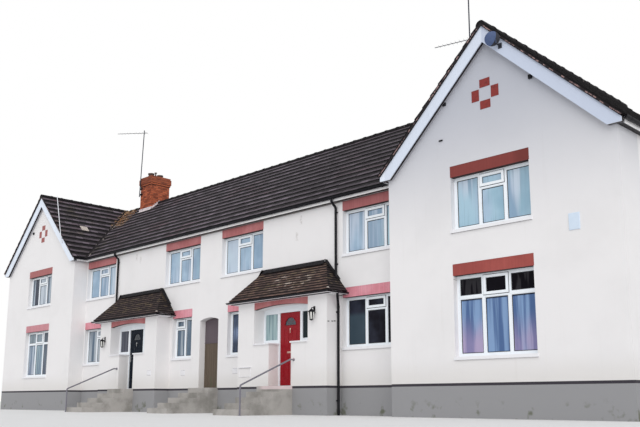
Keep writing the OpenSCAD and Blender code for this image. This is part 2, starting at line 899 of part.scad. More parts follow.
module light_faces(w) {
  for (i = [0 : w[4] - 1]) {
    x = w[0] - w[1] / 2 + frame_w + i * (light_w(w) + frame_w);
    head = w[3] - frame_w;
    foot = w[2] + frame_w;
    if (tall(w) || i == 1) {
      translate([x, head - top_light_h(w)]) square([light_w(w), top_light_h(w)]);
      translate([x, foot]) square([light_w(w), head - top_light_h(w) - frame_w - foot]);
    } else {
      translate([x, foot]) square([light_w(w), head - foot]);
    }
  }
}

module frames(list, face) {
  for (w = list) along_y(face + reveal, face + reveal + frame_d) frame_face(w);
}

module panes(list, face) {
  middle = face + reveal + frame_d / 2;
  for (w = list) along_y(middle - glass_t / 2, middle + glass_t / 2) light_faces(w);
}

// Turns something made for a front wall round to the rear wall
module at_rear() {
  translate([0, house_d, 0]) mirror([0, 1, 0]) children();
}

module window_frames_upper() {
  color("white") both() {
    frames(main_upper, 0);
    frames(wing_upper, -wing_out);
    at_rear() frames(concat(main_upper, wing_upper), 0);
  }
}

module window_frames_lower() {
  low = concat(main_inner_low, main_outer_low);
  color("white") both() {
    frames(low, 0);
    frames(wing_lower, -wing_out);
    at_rear() frames(concat(low, wing_lower), 0);
  }
}

module window_glass_upper() {
  color("lightblue") both() {
    panes(main_upper, 0);
    panes(wing_upper, -wing_out);
    at_rear() panes(concat(main_upper, wing_upper), 0);
  }
}

module window_glass_lower() {
  low = concat(main_inner_low, main_outer_low);
  color("lightblue") both() {
    panes(low, 0);
    panes(wing_lower, -wing_out);
    at_rear() panes(concat(low, wing_lower), 0);
    porch_panes();
  }
}

module sill_bars(list, face) {
  for (w = list)
    span([w[0] - w[1] / 2 - sill_end, face - sill_out, w[2] - sill_t], [w[0] + w[1] / 2 + sill_end, face + reveal, w[2]]);
}

module window_sills() {
  all_main = concat(main_upper, main_inner_low, main_outer_low);
  color("whitesmoke") both() {
    sill_bars(all_main, 0);
    sill_bars(concat(wing_upper, wing_lower), -wing_out);
    at_rear() sill_bars(concat(all_main, wing_upper, wing_lower), 0);
  }
}

module lintel_bars(list, face) {
  for (w = list)
    span([w[0] - w[1] / 2 - lintel_end, face + lintel_set, w[3]],
         [w[0] + w[1] / 2 + lintel_end, face + lintel_set + lintel_d, w[3] + lintel_h]);
}

module lintels() {
  color("indianred") both() {
    lintel_bars(concat(main_upper, main_inner_low, main_outer_low), 0);
    lintel_bars(concat(wing_upper, wing_lower), -wing_out);
    porch_arch_band();
  }
}

module gable_tiles() {
  color("brown") both() gable_cross(-tile_proud);
}

// Porches

module porch_piers() {
  color("gainsboro") both() translate([porch_x, 0, 0]) for (side = [-1, 1])
    span([min(side * porch_w / 2, side * porch_open_w / 2), -porch_out, 0],
         [max(side * porch_w / 2, side * porch_open_w / 2), 0, sill_h + porch_wall_h]);
}

module porch_dwarf_walls() {
  top = sill_h + dwarf_h;
  color("gainsboro") both() translate([porch_x, 0, 0]) for (side = [0, 1]) mirror([side, 0, 0]) {
    span([dwarf_gap / 2, -porch_out, 0], [porch_open_w / 2, dwarf_back, top]);
    span([dwarf_gap / 2, -porch_out - 12, top], [porch_open_w / 2, screen_y, top + ledge_t]);
  }
}

// The red arch over a porch's opening, with its ends cut level under the soffit
module porch_arch_band() {
  spring = sill_h + porch_spring;
  translate([porch_x, 0, 0]) difference() {
    span([-porch_open_w / 2, -porch_out + lintel_set, spring],
         [porch_open_w / 2, -porch_out + lintel_set + lintel_d, sill_h + porch_wall_h]);
    arch_cut(porch_r, porch_rise, spring, -porch_out - CUT, 0);
  }
}

// The vault between a porch's piers, carried through the main wall with the wall over it
module porch_heads() {
  spring = sill_h + porch_spring;
  color("gainsboro") both() translate([porch_x, 0, 0]) difference() {
    union() {
      span([-porch_open_w / 2, -porch_out + lintel_set + lintel_d, spring], [porch_open_w / 2, wall_t, sill_h + porch_wall_h]);
      span([-porch_open_w / 2, 0, spring], [porch_open_w / 2, wall_t, split_h]);
    }
    arch_cut(porch_r, porch_rise, spring, -porch_out - CUT, wall_t + CUT);
  }
}

// The outer form of a porch roof: a lean-to slope with a hip at each end, lowered by a plumb distance
module porch_roof_form(drop, foot) {
  edge = sill_h + porch_edge_h;
  top = sill_h + porch_top_h;
  half = porch_half;
  front = -porch_out - porch_front_out;
  intersection() {
    along_x(-half, half) polygon([[front, foot], [front, edge - drop], [0, top - drop], [0, foot]]);
    along_y(front, 0)
      polygon([[-half, foot], [-half, edge - drop], [-porch_top_w / 2, top - drop],
               [porch_top_w / 2, top - drop], [half, edge - drop], [half, foot]]);
  }
}

module porch_roofs() {
  edge = sill_h + porch_edge_h;
  color("dimgray") both() translate([porch_x, 0, 0]) difference() {
    porch_roof_form(0, edge - 14);
    translate([0, CUT, 0]) intersection() {
      porch_roof_form(porch_roof_t, edge - 200);
      span([-TALL, -porch_out - porch_front_out + 62, 0], [TALL, TALL, TALL]);
    }
  }
}

// The white screen behind a porch's arch, with a door frame and two side lights, drawn in X and Z
module screen_face() {
  spring = sill_h + porch_spring;
  half = porch_open_w / 2;
  difference() {
    union() {
      translate([-half, sill_h + dwarf_h]) square([2 * half, porch_spring + porch_rise - dwarf_h]);
      translate([-dwarf_gap / 2, sill_h]) square([dwarf_gap, dwarf_h]);
    }
    difference() {
      translate([-half - CUT, spring]) square([2 * half + 2 * CUT, porch_rise + CUT]);
      translate([0, spring + porch_rise - porch_r]) circle(r = porch_r, $fn = 180);
    }
    translate([-door_open_w / 2, sill_h + threshold_h]) square([door_open_w, door_open_h - threshold_h]);
    side_light_faces();
  }
}

// The side lights' daylight openings
module side_light_faces() {
  inner = dwarf_gap / 2 + 40;
  outer = porch_open_w / 2 - frame_w;
  foot = sill_h + dwarf_h + 130;
  head = sill_h + porch_spring - 105;
  for (side = [0, 1]) mirror([side, 0]) translate([inner, foot]) square([outer - inner, head - foot]);
}

module porch_screens() {
  color("white") both() translate([porch_x, 0, 0]) {
    difference() {
      along_y(screen_y, screen_y + screen_d) screen_face();
      for (side = [-1, 1])
        span([side > 0 ? dwarf_gap / 2 : -porch_open_w / 2, screen_y - CUT, 0],
             [side > 0 ? porch_open_w / 2 : -dwarf_gap / 2, screen_y + screen_d + CUT, sill_h + dwarf_h]);
    }
  }
}

module porch_panes() {
  middle = screen_y + screen_d / 2;
  translate([porch_x, 0, 0]) along_y(middle - glass_t / 2, middle + glass_t / 2) side_light_faces();
}

// Steps, rails and lamps

module flight(x, from) {
  rise = sill_h / riser_n;
  for (i = [0 : riser_n - 1])
    span([x - step_w / 2, from - landing_d - i * tread_d, 0], [x + step_w / 2, from, sill_h - i * rise]);
}

// The flights, and the masonry under each doorway
module entrance_steps() {
  color("silver") {
    both() {
      union() {
        flight(porch_x, -porch_out);
        span([porch_x - dwarf_gap / 2, -porch_out, 0], [porch_x + dwarf_gap / 2, dwarf_back, sill_h]);
        span([porch_x - porch_open_w / 2, dwarf_back, 0], [porch_x + porch_open_w / 2, wall_t, sill_h]);
      }
    }
    union() {
      flight(0, 0);
      span([-passage_w / 2, 0, 0], [passage_w / 2, wall_t, sill_h]);
    }
  }
}

module handrails() {
  x = porch_x + dwarf_gap / 2 + 115;
  lean = atan(sill_h / riser_n / tread_d);
  high = sill_h + rail_h;
  run = landing_d + (riser_n - 1) * tread_d - rail_level;
  color("darkgray") both() {
    translate([x, -porch_out, high]) rotate([90, 90, 0]) {
      pipe([[rail_level - rail_bend, lean], [run / cos(lean), 90 - lean], [high - run * tan(lean) - rail_bend, 0]],
           rail_r, rail_bend);
      cylinder(r = 2 * rail_r, h = 8);
    }
    translate([x, -porch_out - rail_level - run, 0]) cylinder(r = 2 * rail_r, h = 8);
  }
}

// A wall lantern: a back plate, a curved arm and a tapering lamp
module lantern() {
  span([-35, -8, 0], [35, 0, 190]);
  translate([0, 0, 150]) rotate([90, 90, 0]) pipe([[80, 90], [20, 0]], 9, 30);
  translate([0, -110, -190]) {
    cylinder(r = 26, h = 20, $fn = 24);
    translate([0, 0, 20]) cylinder(r1 = 50, r2 = 84, h = 210, $fn = 24);
    translate([0, 0, 230]) cylinder(r1 = 98, r2 = 20, h = 70, $fn = 24);
  }
}

module lanterns() {
  color("black") {
    translate([porch_x + porch_open_w / 2 + 250, -porch_out, sill_h + porch_wall_h - 485]) lantern();
    translate([-porch_x - porch_w / 2 + 330, -porch_out, sill_h + porch_wall_h - 700]) lantern();
  }
}

// Doors

// A half disc, flat side down, drawn in X and Z
module fan_face(radius) {
  intersection() {
    circle(r = radius);
    translate([-radius, 0]) square([2 * radius, radius]);
  }
}

// A leaf with moulded panels and a hole for its half-round light, centred on x = 0
module front_leaf() {
  difference() {
    span([-door_w / 2, door_y, door_foot], [door_w / 2, door_y + door_t, door_foot + door_h]);
    translate([0, 0, sill_h + fan_h]) along_y(door_y - CUT, door_y + door_t + CUT) fan_face(fan_w / 2);
    for (side = [-1, 1]) {
      leaf_panel(side * door_w * 0.2, 1000, 520);
      leaf_panel(side * door_w * 0.2, 160, 640);
    }
  }
}

// A sunk margin round one raised panel on the leaf's outer face
module leaf_panel(x, foot, height) {
  wide = door_w * 0.26;
  difference() {
    span([x - wide / 2, door_y - CUT, door_foot + foot], [x + wide / 2, door_y + 7, door_foot + foot + height]);
    span([x - wide / 2 + 22, door_y - CUT, door_foot + foot + 22],
         [x + wide / 2 - 22, door_y + 7, door_foot + foot + height - 22]);
  }
}

// A knocker, a letter plate and a lever handle on the leaf's outer face; side tells where the handle is
module leaf_fittings(side) {
  span([-130, door_y - 6, sill_h + 900], [130, door_y, sill_h + 950]);
  translate([0, door_y, sill_h + 1560]) rotate([90, 0, 0]) cylinder(r = 26, h = 14);
  span([-9, door_y - 20, sill_h + 1450], [9, door_y, sill_h + 1560]);
  translate([side * (door_w / 2 - 52), door_y, 0]) {
    span([-16, -8, sill_h + 930], [16, 0, sill_h + 1170]);
    translate([0, 0, sill_h + 1090]) rotate([90, 0, 0]) pipe([[36, -side * 90], [98, 0]], 9, 12);
  }
}

module right_door() {
  color("firebrick") translate([porch_x, 0, 0]) front_door();
}

// A leaf with its fittings and its halves of the hinges
module front_door() {
  union() {
    front_leaf();
    leaf_fittings(1);
    translate([-door_w / 2, dwarf_back, sill_h]) leaf_hinges(1);
  }
}

module left_door() {
  color("black") mirror([1, 0, 0]) translate([porch_x, 0, 0]) front_door();
}

module fan_pane() {
  translate([porch_x, 0, sill_h + fan_h]) along_y(door_y + 12, door_y + door_t - 12) fan_face(fan_w / 2);
}

module right_door_light() {
  color("steelblue") fan_pane();
}

module left_door_light() {
  color("steelblue") mirror([1, 0, 0]) fan_pane();
}

// An arched leaf that fills the passage's mouth: boards below a weather bar and a flush panel above it
module passage_door() {
  half = passage_w / 2 - door_gap;
  foot = sill_h + door_gap + 4;
  face = wall_t - door_t;
  bar = sill_h + 1380;
  color("saddlebrown") union() {
    difference() {
      intersection() {
        span([-half, face, foot], [half, face + door_t, sill_h + passage_spring + passage_rise]);
        arch_cut(passage_r - door_gap, passage_rise - door_gap, sill_h + passage_spring, face - CUT, face + door_t + CUT);
      }
      for (i = [-3 : 3])
        span([i * half / 4 - 3, face - CUT, foot - CUT], [i * half / 4 + 3, face + 5, bar]);
    }
    span([-half, face - 12, bar], [half, face, bar + 30]);
    translate([-half, wall_t, sill_h]) leaf_hinges(1);
  }
}

// Heights of a door's three hinges above the sill
hinge_hs = [220, 1000, 1780];

// The knuckles and flaps that a leaf carries; its edge is at x = 0 and its back at y = 0
module leaf_hinges(side) {
  for (z = hinge_hs) translate([0, 0, z + knuckle_h + AIR]) hinge_half(side);
}

// The knuckles and flaps on a door frame's back
module frame_hinges() {
  for (z = hinge_hs) translate([0, 0, z]) hinge_half(-1);
}

// One knuckle with a flap to one side of it, standing off the surface behind a door
module hinge_half(side) {
  pivot = -door_gap / 2;
  translate([pivot, hinge_y, 0]) cylinder(r = hinge_r, h = knuckle_h, $fn = 24);
  if (side > 0) span([pivot, -AIR, 0], [34, 2.5, knuckle_h]);
  else span([pivot - 34, 0, 0], [pivot, 2.5, knuckle_h]);
}

module door_hinges() {
  color("silver") {
    both() translate([porch_x - door_w / 2, dwarf_back, sill_h]) frame_hinges();
    translate([-passage_w / 2 + door_gap, wall_t, sill_h]) frame_hinges();
  }
}

front_wall_upper();
front_wall_inner();
front_wall_outer();
passage_arch();
wing_front_left();
wing_front_right();
flank_walls();
rear_wall();
rear_gables();
ground_floor();
first_floor();
main_roof_front();
main_roof_rear();
wing_roof_left();
wing_roof_right();
ridge_tiles();
bargeboards();
eaves_boards();
gutters();
porch_gutters();
downpipes();
chimney_left();
chimney_right();
chimney_pots();
tv_aerials();
satellite_dish();
window_frames_upper();
window_frames_lower();
window_glass_upper();
window_glass_lower();
window_sills();
lintels();
gable_tiles();
porch_piers();
porch_dwarf_walls();
porch_heads();
porch_roofs();
porch_screens();
entrance_steps();
handrails();
lanterns();
door_hinges();
right_door();
right_door_light();
left_door();
left_door_light();
passage_door();
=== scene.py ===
"""Dresses the terraced house row: tiles, bricks, window sashes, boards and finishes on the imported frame."""
import math
import random

import bmesh
import bpy
from bpy.props import FloatProperty, FloatVectorProperty, IntProperty, PointerProperty
from mathutils import Matrix, Vector


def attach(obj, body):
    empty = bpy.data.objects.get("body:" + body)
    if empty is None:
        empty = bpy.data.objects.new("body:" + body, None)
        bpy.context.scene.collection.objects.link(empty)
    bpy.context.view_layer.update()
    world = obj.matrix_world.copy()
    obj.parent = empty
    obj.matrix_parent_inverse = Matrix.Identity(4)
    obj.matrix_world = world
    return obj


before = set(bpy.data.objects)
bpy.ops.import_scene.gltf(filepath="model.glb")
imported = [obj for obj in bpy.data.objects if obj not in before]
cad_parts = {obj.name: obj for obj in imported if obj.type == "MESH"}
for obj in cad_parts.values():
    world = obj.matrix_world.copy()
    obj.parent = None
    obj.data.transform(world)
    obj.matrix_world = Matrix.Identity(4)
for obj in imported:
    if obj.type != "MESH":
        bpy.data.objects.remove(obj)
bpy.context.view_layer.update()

bl_info = {
    "name": "Terraced House Row",
    "version": (1, 0, 0),
    "blender": (4, 5, 0),
    "location": "View3D > Sidebar > House Row",
    "description": "Adds roof tiles, bricks, window sashes, boards and finishes to a terraced house row",
    "category": "Object",
}

BODY = "row"
SIDES = ((-1, "left"), (1, "right"))

# Driving sizes of the building, in metres; top lights are lower in windows that aren't tall
MAIN_HALF = 7.87
HOUSE_D = 6.28
WING_W = 5.79
WING_OUT = 0.566
TILE_OUT = 0.185
EAVE_Z = 5.765
MAIN_RIDGE_Z = 8.6
WING_RIDGE_Z = 8.72
REVEAL = 0.14
WINDOW_HEADS = (5.356, 3.018, 3.096)
FRAME_D = 0.07
FRAME_W = 0.058
PANE_HALF = 0.012
TALL_WINDOW = 1.6
TOP_LIGHTS = (0.25, 0.4)
WING_WINDOW_X = 10.705
DOOR_SILL = 0.75
PORCH_X = 3.906
PORCH_HALF = 1.794
PORCH_FRONT = -0.532
PORCH_ROOF_HALF = 2.017
PORCH_TOP_HALF = 1.2545
PORCH_EDGE_Z = 3.183
PORCH_TOP_Z = 4.075
SIDE_LIGHT = (0.4905, 1.035)
SCREEN_Y = -0.161
DOOR_Y = -0.135
FAN_Z = 1.66
FAN_RADIUS = 0.228
GUTTER_OFF = 0.2063
SOFFIT = 0.1295
CHIMNEYS = {"left": -8.3, "right": 8.405}
CHIMNEY_HALF_W = 0.41
CHIMNEY_HALF_D = 0.44
CHIMNEY_Z = 9.705
BRICK_COURSE = 0.075
BRICKS_A_SIDE = 4

# Lines worked out from them
ROW_HALF = MAIN_HALF + WING_W
MAIN_EAVE_Y = -TILE_OUT
REAR_EAVE_Y = HOUSE_D + TILE_OUT
MIDDLE_Y = HOUSE_D / 2
MAIN_RUN = MIDDLE_Y + TILE_OUT
MAIN_RISE = MAIN_RIDGE_Z - EAVE_Z
MAIN_PITCH = MAIN_RISE / MAIN_RUN
WING_EAVE_X = MAIN_HALF - TILE_OUT
WING_X = MAIN_HALF + WING_W / 2
WING_RUN = WING_W / 2 + TILE_OUT
WING_RISE = WING_RIDGE_Z - EAVE_Z
WING_FACE_Y = -WING_OUT
VERGE_Y = -WING_OUT - TILE_OUT
VALLEY_TOP_X = WING_X - (WING_RIDGE_Z - MAIN_RIDGE_Z) * WING_RUN / WING_RISE
VALLEY_SLANT = (VALLEY_TOP_X - WING_EAVE_X) / (MIDDLE_Y - MAIN_EAVE_Y)
PORCH_ROOF_FRONT = PORCH_FRONT - 0.18

# Windows as middle x, width, sill, head, lights and the wall's face
FRONT_WINDOWS = [
    (1.546, 1.96, 4.17, WINDOW_HEADS[0], 3, 0.0),
    (6.806, 2.06, 4.17, WINDOW_HEADS[0], 3, 0.0),
    (1.452, 1.056, 1.72, WINDOW_HEADS[1], 2, 0.0),
    (6.806, 2.06, 1.72, WINDOW_HEADS[1], 3, 0.0),
    (WING_WINDOW_X, 2.004, 4.13, WINDOW_HEADS[0], 3, WING_FACE_Y),
    (WING_WINDOW_X, 2.004, 1.308, WINDOW_HEADS[2], 3, WING_FACE_Y),
]

# A large vent from corner to corner and a plate as x, z, width and height
BIG_VENT = ((2.2, 1.02), (2.7, 1.28))
WALL_PLATE = (12.54, 3.7, 0.234, 0.34)

# Air vents as middle x, middle z and the wall's face
VENTS = ((-1.334, 1.24, 0.0), (-2.466, 1.26, PORCH_FRONT), (1.334, 1.24, 0.0))

# Hooks on the right porch's side as y and z, clips under the bargeboards as x and z, lanterns as x and z
HOOKS = ((-0.5, 2.37), (-0.36, 2.38), (-0.27, 2.39))
CLIPS = ((9.6, 7.1), (11.85, 7.1), (-11.577, 7.2))
LANTERNS = ((5.249, 2.605), (-5.37, 2.39))

# Faint grey marks on the upper wall as x and z, and where the painted shade under the eaves begins
WALL_MARKS = ((-4.39, 5.381), (-4.12, 5.264), (4.153, 5.369), (3.993, 4.918))
EAVES_SHADE = 5.6

# The stack's steps as growth, depth of the foot and depth of the head under the stack's top
STACK_STEPS = ((0.0, 1.5, 0.375), (0.028, 0.375, 0.3), (0.056, 0.3, 0.075), (0.028, 0.075, 0.0))

# The camera's place, its yaw, pitch and roll in degrees, and its lens and picture width in pixels
CAMERA_PLACE = (20.002, -14.908, 0.355)
CAMERA_TURN = (-45.340, 10.492, 0.088)
LENS_PIXELS = 792.34
PICTURE_PIXELS = 640
SENSOR = 36

# Where the sun shines towards
SUN_WAY = (-0.65, 0.63, -0.5)

UP = Vector((0, 0, 1))


class TileSizes(bpy.types.PropertyGroup):
    gauge: FloatProperty(name="Gauge", description="Height of each course up the slope", default=0.33, unit="LENGTH")
    cover: FloatProperty(name="Cover", description="Width that each tile covers", default=0.295, unit="LENGTH")
    lip: FloatProperty(name="Lip", description="Height of a tile's lower edge", default=0.026, unit="LENGTH")
    plain_gauge: FloatProperty(name="Porch gauge", description="Course height on the porches", default=0.1,
                               unit="LENGTH")
    plain_cover: FloatProperty(name="Porch cover", description="Tile width on the porches", default=0.168,
                               unit="LENGTH")
    seed: IntProperty(name="Seed", description="Changes how the tiles vary", default=7)


class RowColours(bpy.types.PropertyGroup):
    wall: FloatVectorProperty(name="Wall paint", description="Masonry paint", subtype="COLOR", size=3,
                              default=(0.85, 0.835, 0.84))
    plinth: FloatVectorProperty(name="Plinth", description="Paint below the sills", subtype="COLOR", size=3,
                                default=(0.3, 0.3, 0.31))
    lintel: FloatVectorProperty(name="Lintel red", description="Paint on lintels and arches", subtype="COLOR",
                                size=3, default=(0.33, 0.07, 0.062))
    tile: FloatVectorProperty(name="Roof tiles", description="Weathered tile colour", subtype="COLOR", size=3,
                              default=(0.078, 0.064, 0.078))
    brick: FloatVectorProperty(name="Brick", description="Chimney bricks", subtype="COLOR", size=3,
                               default=(0.32, 0.075, 0.038))
    board: FloatVectorProperty(name="Frames", description="White window frames", subtype="COLOR", size=3,
                               default=(0.9, 0.945, 0.99))
    door: FloatVectorProperty(name="Right door", description="Gloss red of the right door", subtype="COLOR", size=3,
                              default=(0.3, 0.008, 0.016))


class Field:
    """A value or colour that varies over a surface; arithmetic on it adds maths nodes."""

    def __init__(self, graph, socket):
        self.graph = graph
        self.socket = socket

    def __add__(self, other):
        return self.graph.maths("ADD", self, other)

    def __radd__(self, other):
        return self.graph.maths("ADD", other, self)

    def __sub__(self, other):
        return self.graph.maths("SUBTRACT", self, other)

    def __rsub__(self, other):
        return self.graph.maths("SUBTRACT", other, self)

    def __mul__(self, other):
        return self.graph.maths("MULTIPLY", self, other)

    def __rmul__(self, other):
        return self.graph.maths("MULTIPLY", other, self)

    def __lt__(self, other):
        return self.graph.maths("LESS_THAN", self, other)

    def __gt__(self, other):
        return self.graph.maths("GREATER_THAN", self, other)

    def __abs__(self):
        return self.graph.maths("ABSOLUTE", self)

    def near(self, levels, margin=0.003):
        """One where the value is close to any of the levels."""
        return sum((abs(self - level) < margin for level in levels), 0)

    def rise(self, low, high):
        """Smooth step from nothing at one level to one at another."""
        return self.graph.node("ShaderNodeMapRange", {"interpolation_type": "SMOOTHSTEP"},
                               {"Value": self, "From Min": low, "From Max": high, "To Min": 0.0, "To Max": 1.0})

    def between(self, low, high, soft):
        """One between two levels, falling to nothing over a soft margin."""
        return self.rise(low - soft, low) * (1 - self.rise(high, high + soft))


class Graph:
    """Adds nodes to an emptied node tree."""

    def __init__(self, tree):
        self.tree = tree
        tree.nodes.clear()

    def put(self, value, socket):
        if isinstance(value, Field):
            self.tree.links.new(value.socket, socket)
        elif hasattr(socket.default_value, "__len__") and len(socket.default_value) == 4:
            socket.default_value = tuple(value) + (1.0,) * (4 - len(value))
        else:
            socket.default_value = value

    def node(self, kind, settings, values, output=0):
        made = self.tree.nodes.new(kind)
        for key, value in settings.items():
            setattr(made, key, value)
        for key, value in values.items():
            self.put(value, made.inputs[key])
        return Field(self, made.outputs[output]) if made.outputs else None

    def maths(self, operation, *terms):
        return self.node("ShaderNodeMath", {"operation": operation}, dict(enumerate(terms)))

    def split(self, vector):
        """The three parts of a place or a direction."""
        parts = self.tree.nodes.new("ShaderNodeSeparateXYZ")
        self.tree.links.new(vector.socket, parts.inputs[0])
        return [Field(self, socket) for socket in parts.outputs]

    def blend(self, base, top, amount):
        return self.node("ShaderNodeMix", {"data_type": "RGBA"}, {0: amount, 6: base, 7: top}, 2)


class Finish(Graph):
    """A material whose colour is built up in layers."""

    def __init__(self, name, shine):
        self.material = bpy.data.materials.new(name)
        self.material.use_nodes = True
        super().__init__(self.material.node_tree)
        self.shader = self.tree.nodes.new("ShaderNodeBsdfPrincipled")
        self.shader.inputs["Specular IOR Level"].default_value = shine
        self.node("ShaderNodeOutputMaterial", {}, {0: Field(self, self.shader.outputs[0])})
        self.place = self.node("ShaderNodeTexCoord", {}, {}, "Object")
        self.colour = None

    def axes(self):
        """The three coordinates of the place, in metres."""
        return self.split(self.place)

    def noise(self, scale, detail, stretch=None):
        spot = self.place
        if stretch:
            spot = self.node("ShaderNodeVectorMath", {"operation": "MULTIPLY"}, {0: self.place, 1: stretch})
        return self.node("ShaderNodeTexNoise", {},
                         {"Vector": spot, "Scale": scale, "Detail": detail, "Roughness": 0.55})

    def patches(self, scale, detail, low, high, stretch=None):
        """Noise that is sharpened into patches between two levels."""
        return self.noise(scale, detail, stretch).rise(low, high)

    def underside(self, level=0.5):
        """One on faces that look down."""
        return self.split(self.node("ShaderNodeNewGeometry", {}, {}, "Normal"))[2] < -level

    def tone(self):
        """The tone that is painted on each tile or brick."""
        return self.node("ShaderNodeAttribute", {"attribute_name": "tone"}, {}, "Fac")

    def start(self, base, top, amount):
        self.colour = self.blend(base, top, amount)

    def layer(self, top, amount):
        self.colour = self.blend(self.colour, top, amount)

    def surface(self, roughness, bump=None, metallic=0.0):
        """Joins the colour to the shader; a bump is its height, strength and depth."""
        for key, value in (("Base Color", self.colour), ("Roughness", roughness), ("Metallic", metallic)):
            self.put(value, self.shader.inputs[key])
        if bump:
            height, strength, depth = bump
            values = {"Strength": strength, "Distance": depth, "Height": height}
            self.put(self.node("ShaderNodeBump", {}, values, "Normal"), self.shader.inputs["Normal"])


# Every finish by name: its maker, the slot that its pieces fill, its shine and the maker's own values
MAKERS = {}

# Finishes already made
FINISHES = {}

# Tone of painted shade on the tiles' lower edges, just below them and on the first course's foot
SHADE_TONE = -1.0


def maker(slot=None, shine=0.5):
    """Lists a finish under its function's name."""
    def keep(build):
        MAKERS[build.__name__] = (build, slot, shine, ())
        return build
    return keep


def finish(name):
    """A material by its name, made on first use."""
    if name not in FINISHES:
        build, _, shine, values = MAKERS[name]
        made = Finish(name, shine)
        build(made, bpy.context.scene.row_colours, *values)
        FINISHES[name] = made.material
    return FINISHES[name]


def darker(colour, share):
    return tuple(part * share for part in colour)


@maker()
def wall_paint(f, c):
    """Masonry paint with rain streaks, dirt near the ground, a grey plinth, and painted shade on window heads and below
    the eaves.
    """
    x, y, z = f.axes()
    mottle, fine = f.noise(0.9, 4), f.noise(26, 3)
    f.start(c.wall, darker(c.wall, 0.92), mottle.rise(0.42, 0.75) * 0.5)
    f.layer((0.56, 0.52, 0.48), f.patches(1.0, 4, 0.58, 0.8, (7.0, 7.0, 0.35)) * 0.12)
    # Painted shade: the right wing's walls grow darker and bluer towards the top
    f.layer((0.4, 0.425, 0.5), z.rise(3.4, 7.5) * (x > MAIN_HALF - 0.02) * (y < 0.3) * 0.78)
    f.layer((0.6, 0.57, 0.52), (1 - (z + mottle * 0.4).rise(0.95, 1.6)) * 0.35)
    f.layer(c.plinth, 1 - z.rise(0.735, 0.748))
    f.layer((0.035, 0.03, 0.04), z.between(0.69, 0.742, 0.008))
    f.layer((0.1, 0.11, 0.06), f.patches(3.2, 5, 0.56, 0.7) * (1 - z.rise(0.1, 0.5)) * 0.8)
    # Painted shade: near-black lines on the heads of the window reveals
    wing = abs(x) > MAIN_HALF
    deep = (1 - wing) * (abs(y - 0.1) < 0.095) + wing * (abs(y + WING_OUT - 0.1) < 0.095)
    plain = (abs(abs(x) - MAIN_HALF) > 0.05) * (abs(x) < ROW_HALF - 0.05)
    f.layer((0.05, 0.04, 0.04), (deep + (abs(y - HOUSE_D + 0.1) < 0.095)) * plain * z.near(WINDOW_HEADS))
    # Painted shade on the wall just below the eaves
    f.layer((0.13, 0.1, 0.095), (z > EAVES_SHADE) * (abs(x) < MAIN_HALF) * (y < 0.01) * 0.75)
    for spot, level in WALL_MARKS:
        mark = (abs(x - spot) < 0.05) * (abs(z - level) < 0.13) * (y < 0.01)
        f.layer((0.5, 0.47, 0.45), mark * f.patches(14, 3, 0.4, 0.6) * 0.5)
    f.surface(0.82 + fine * 0.1, (fine * 0.6 + f.noise(90, 2) * 0.4, 0.35, 0.004))


@maker()
def floor_boards(f, c):
    gap = f.maths("FRACT", f.axes()[0] * 6.5).rise(0.0, 0.04)
    wood = f.blend((0.36, 0.24, 0.14), (0.24, 0.15, 0.09), f.noise(3, 4, (6, 0.6, 1)))
    f.start((0.05, 0.03, 0.02), wood, gap)
    f.surface(0.6, (gap, 0.4, 0.003))


@maker("roof_tiles", 0.2)
def roof_tile(f, c):
    """Concrete tiles: grey-brown faces, per-tile tone, lichen spots, greener tiles on the left wing, painted shade at
    laps and edges.
    """
    x, y, z = f.axes()
    tone, fine = f.tone(), f.noise(42, 4)
    f.start(darker(c.tile, 0.95), darker(c.tile, 2.5), tone * tone)
    f.layer((0.13, 0.065, 0.08), f.patches(0.7, 4, 0.5, 0.72) * 0.45)
    f.layer((0.075, 0.065, 0.042), f.patches(1.3, 5, 0.48, 0.68) * (x < -7.4) * 0.6)
    f.layer(darker(c.tile, 0.45), x.between(3.5, 8.5, 0.8) * 0.4)
    # Painted shade: the upper band of each tile face, under the lap above, goes near black
    f.start(darker(c.tile, 0.11), f.colour, tone.rise(0.05, 0.1))
    f.layer((0.36, 0.31, 0.29), f.patches(15, 3, 0.66, 0.74) * f.patches(1.9, 2, 0.5, 0.62) * 0.8)
    past = x + (WING_EAVE_X + 0.16) + (y - MAIN_EAVE_Y) * VALLEY_SLANT
    moss = f.patches(5.5, 5, 0.47, 0.56) * past.between(0.1, 1.0, 0.12) * y.between(2.0, 3.2, 0.3)
    f.layer((0.4, 0.25, 0.14), moss * 0.8)
    f.layer(darker(c.tile, 0.25), fine.rise(0.55, 0.8) * 0.5)
    # Painted shade: lower edges and the strips just below them go near black
    f.layer(darker(c.tile, 0.06), tone < -0.5)
    f.surface(0.85, (fine, 0.5, 0.004))


def porch_tile(f, c, warm, dark, bare):
    """Old plain tiles with pale worn patches in the middle of the front slope, and painted shade under laps and on
    lower edges.
    """
    x, y, z = f.axes()
    tone = f.tone()
    f.start(dark, warm, tone * 0.6 + f.patches(3.3, 5, 0.44, 0.62, (1, 1, 2.0)) * 0.4)
    middle = z.between(3.42, 3.72, 0.16) * x.between(PORCH_X - 0.3, PORCH_X + 0.95, 0.25)
    f.layer((0.55, 0.46, 0.4), f.patches(6.0, 4, 0.5, 0.56, (0.5, 1, 2.0)) * middle * (tone > 0.15) * bare)
    f.layer((0.2, 0.15, 0.09), f.patches(5.1, 4, 0.5, 0.62, (0.7, 1, 1.6)) * z.between(3.35, 3.95, 0.1) * 0.55)
    # Painted shade under each lap and on the tiles' lower edges
    f.start(darker(dark, 0.6), f.colour, tone.rise(0.02, 0.06))
    f.layer(darker(dark, 0.25), tone < -0.5)
    f.surface(0.85, (f.noise(60, 3), 0.5, 0.003))


def mottled(f, c, first, second, grain, step, roughness, bump, vary=0, metal=0, top=None, where=None):
    """Two colours mottled into each other, softly or between two levels, and a layer where the piece needs one."""
    grit = f.noise(*grain)
    f.start(first, second, grit.rise(*step) if step else grit)
    if top:
        f.layer(top, where(*f.axes()))
    f.surface(roughness + grit * vary if vary else roughness, (grit, *bump) if bump else None, metal)


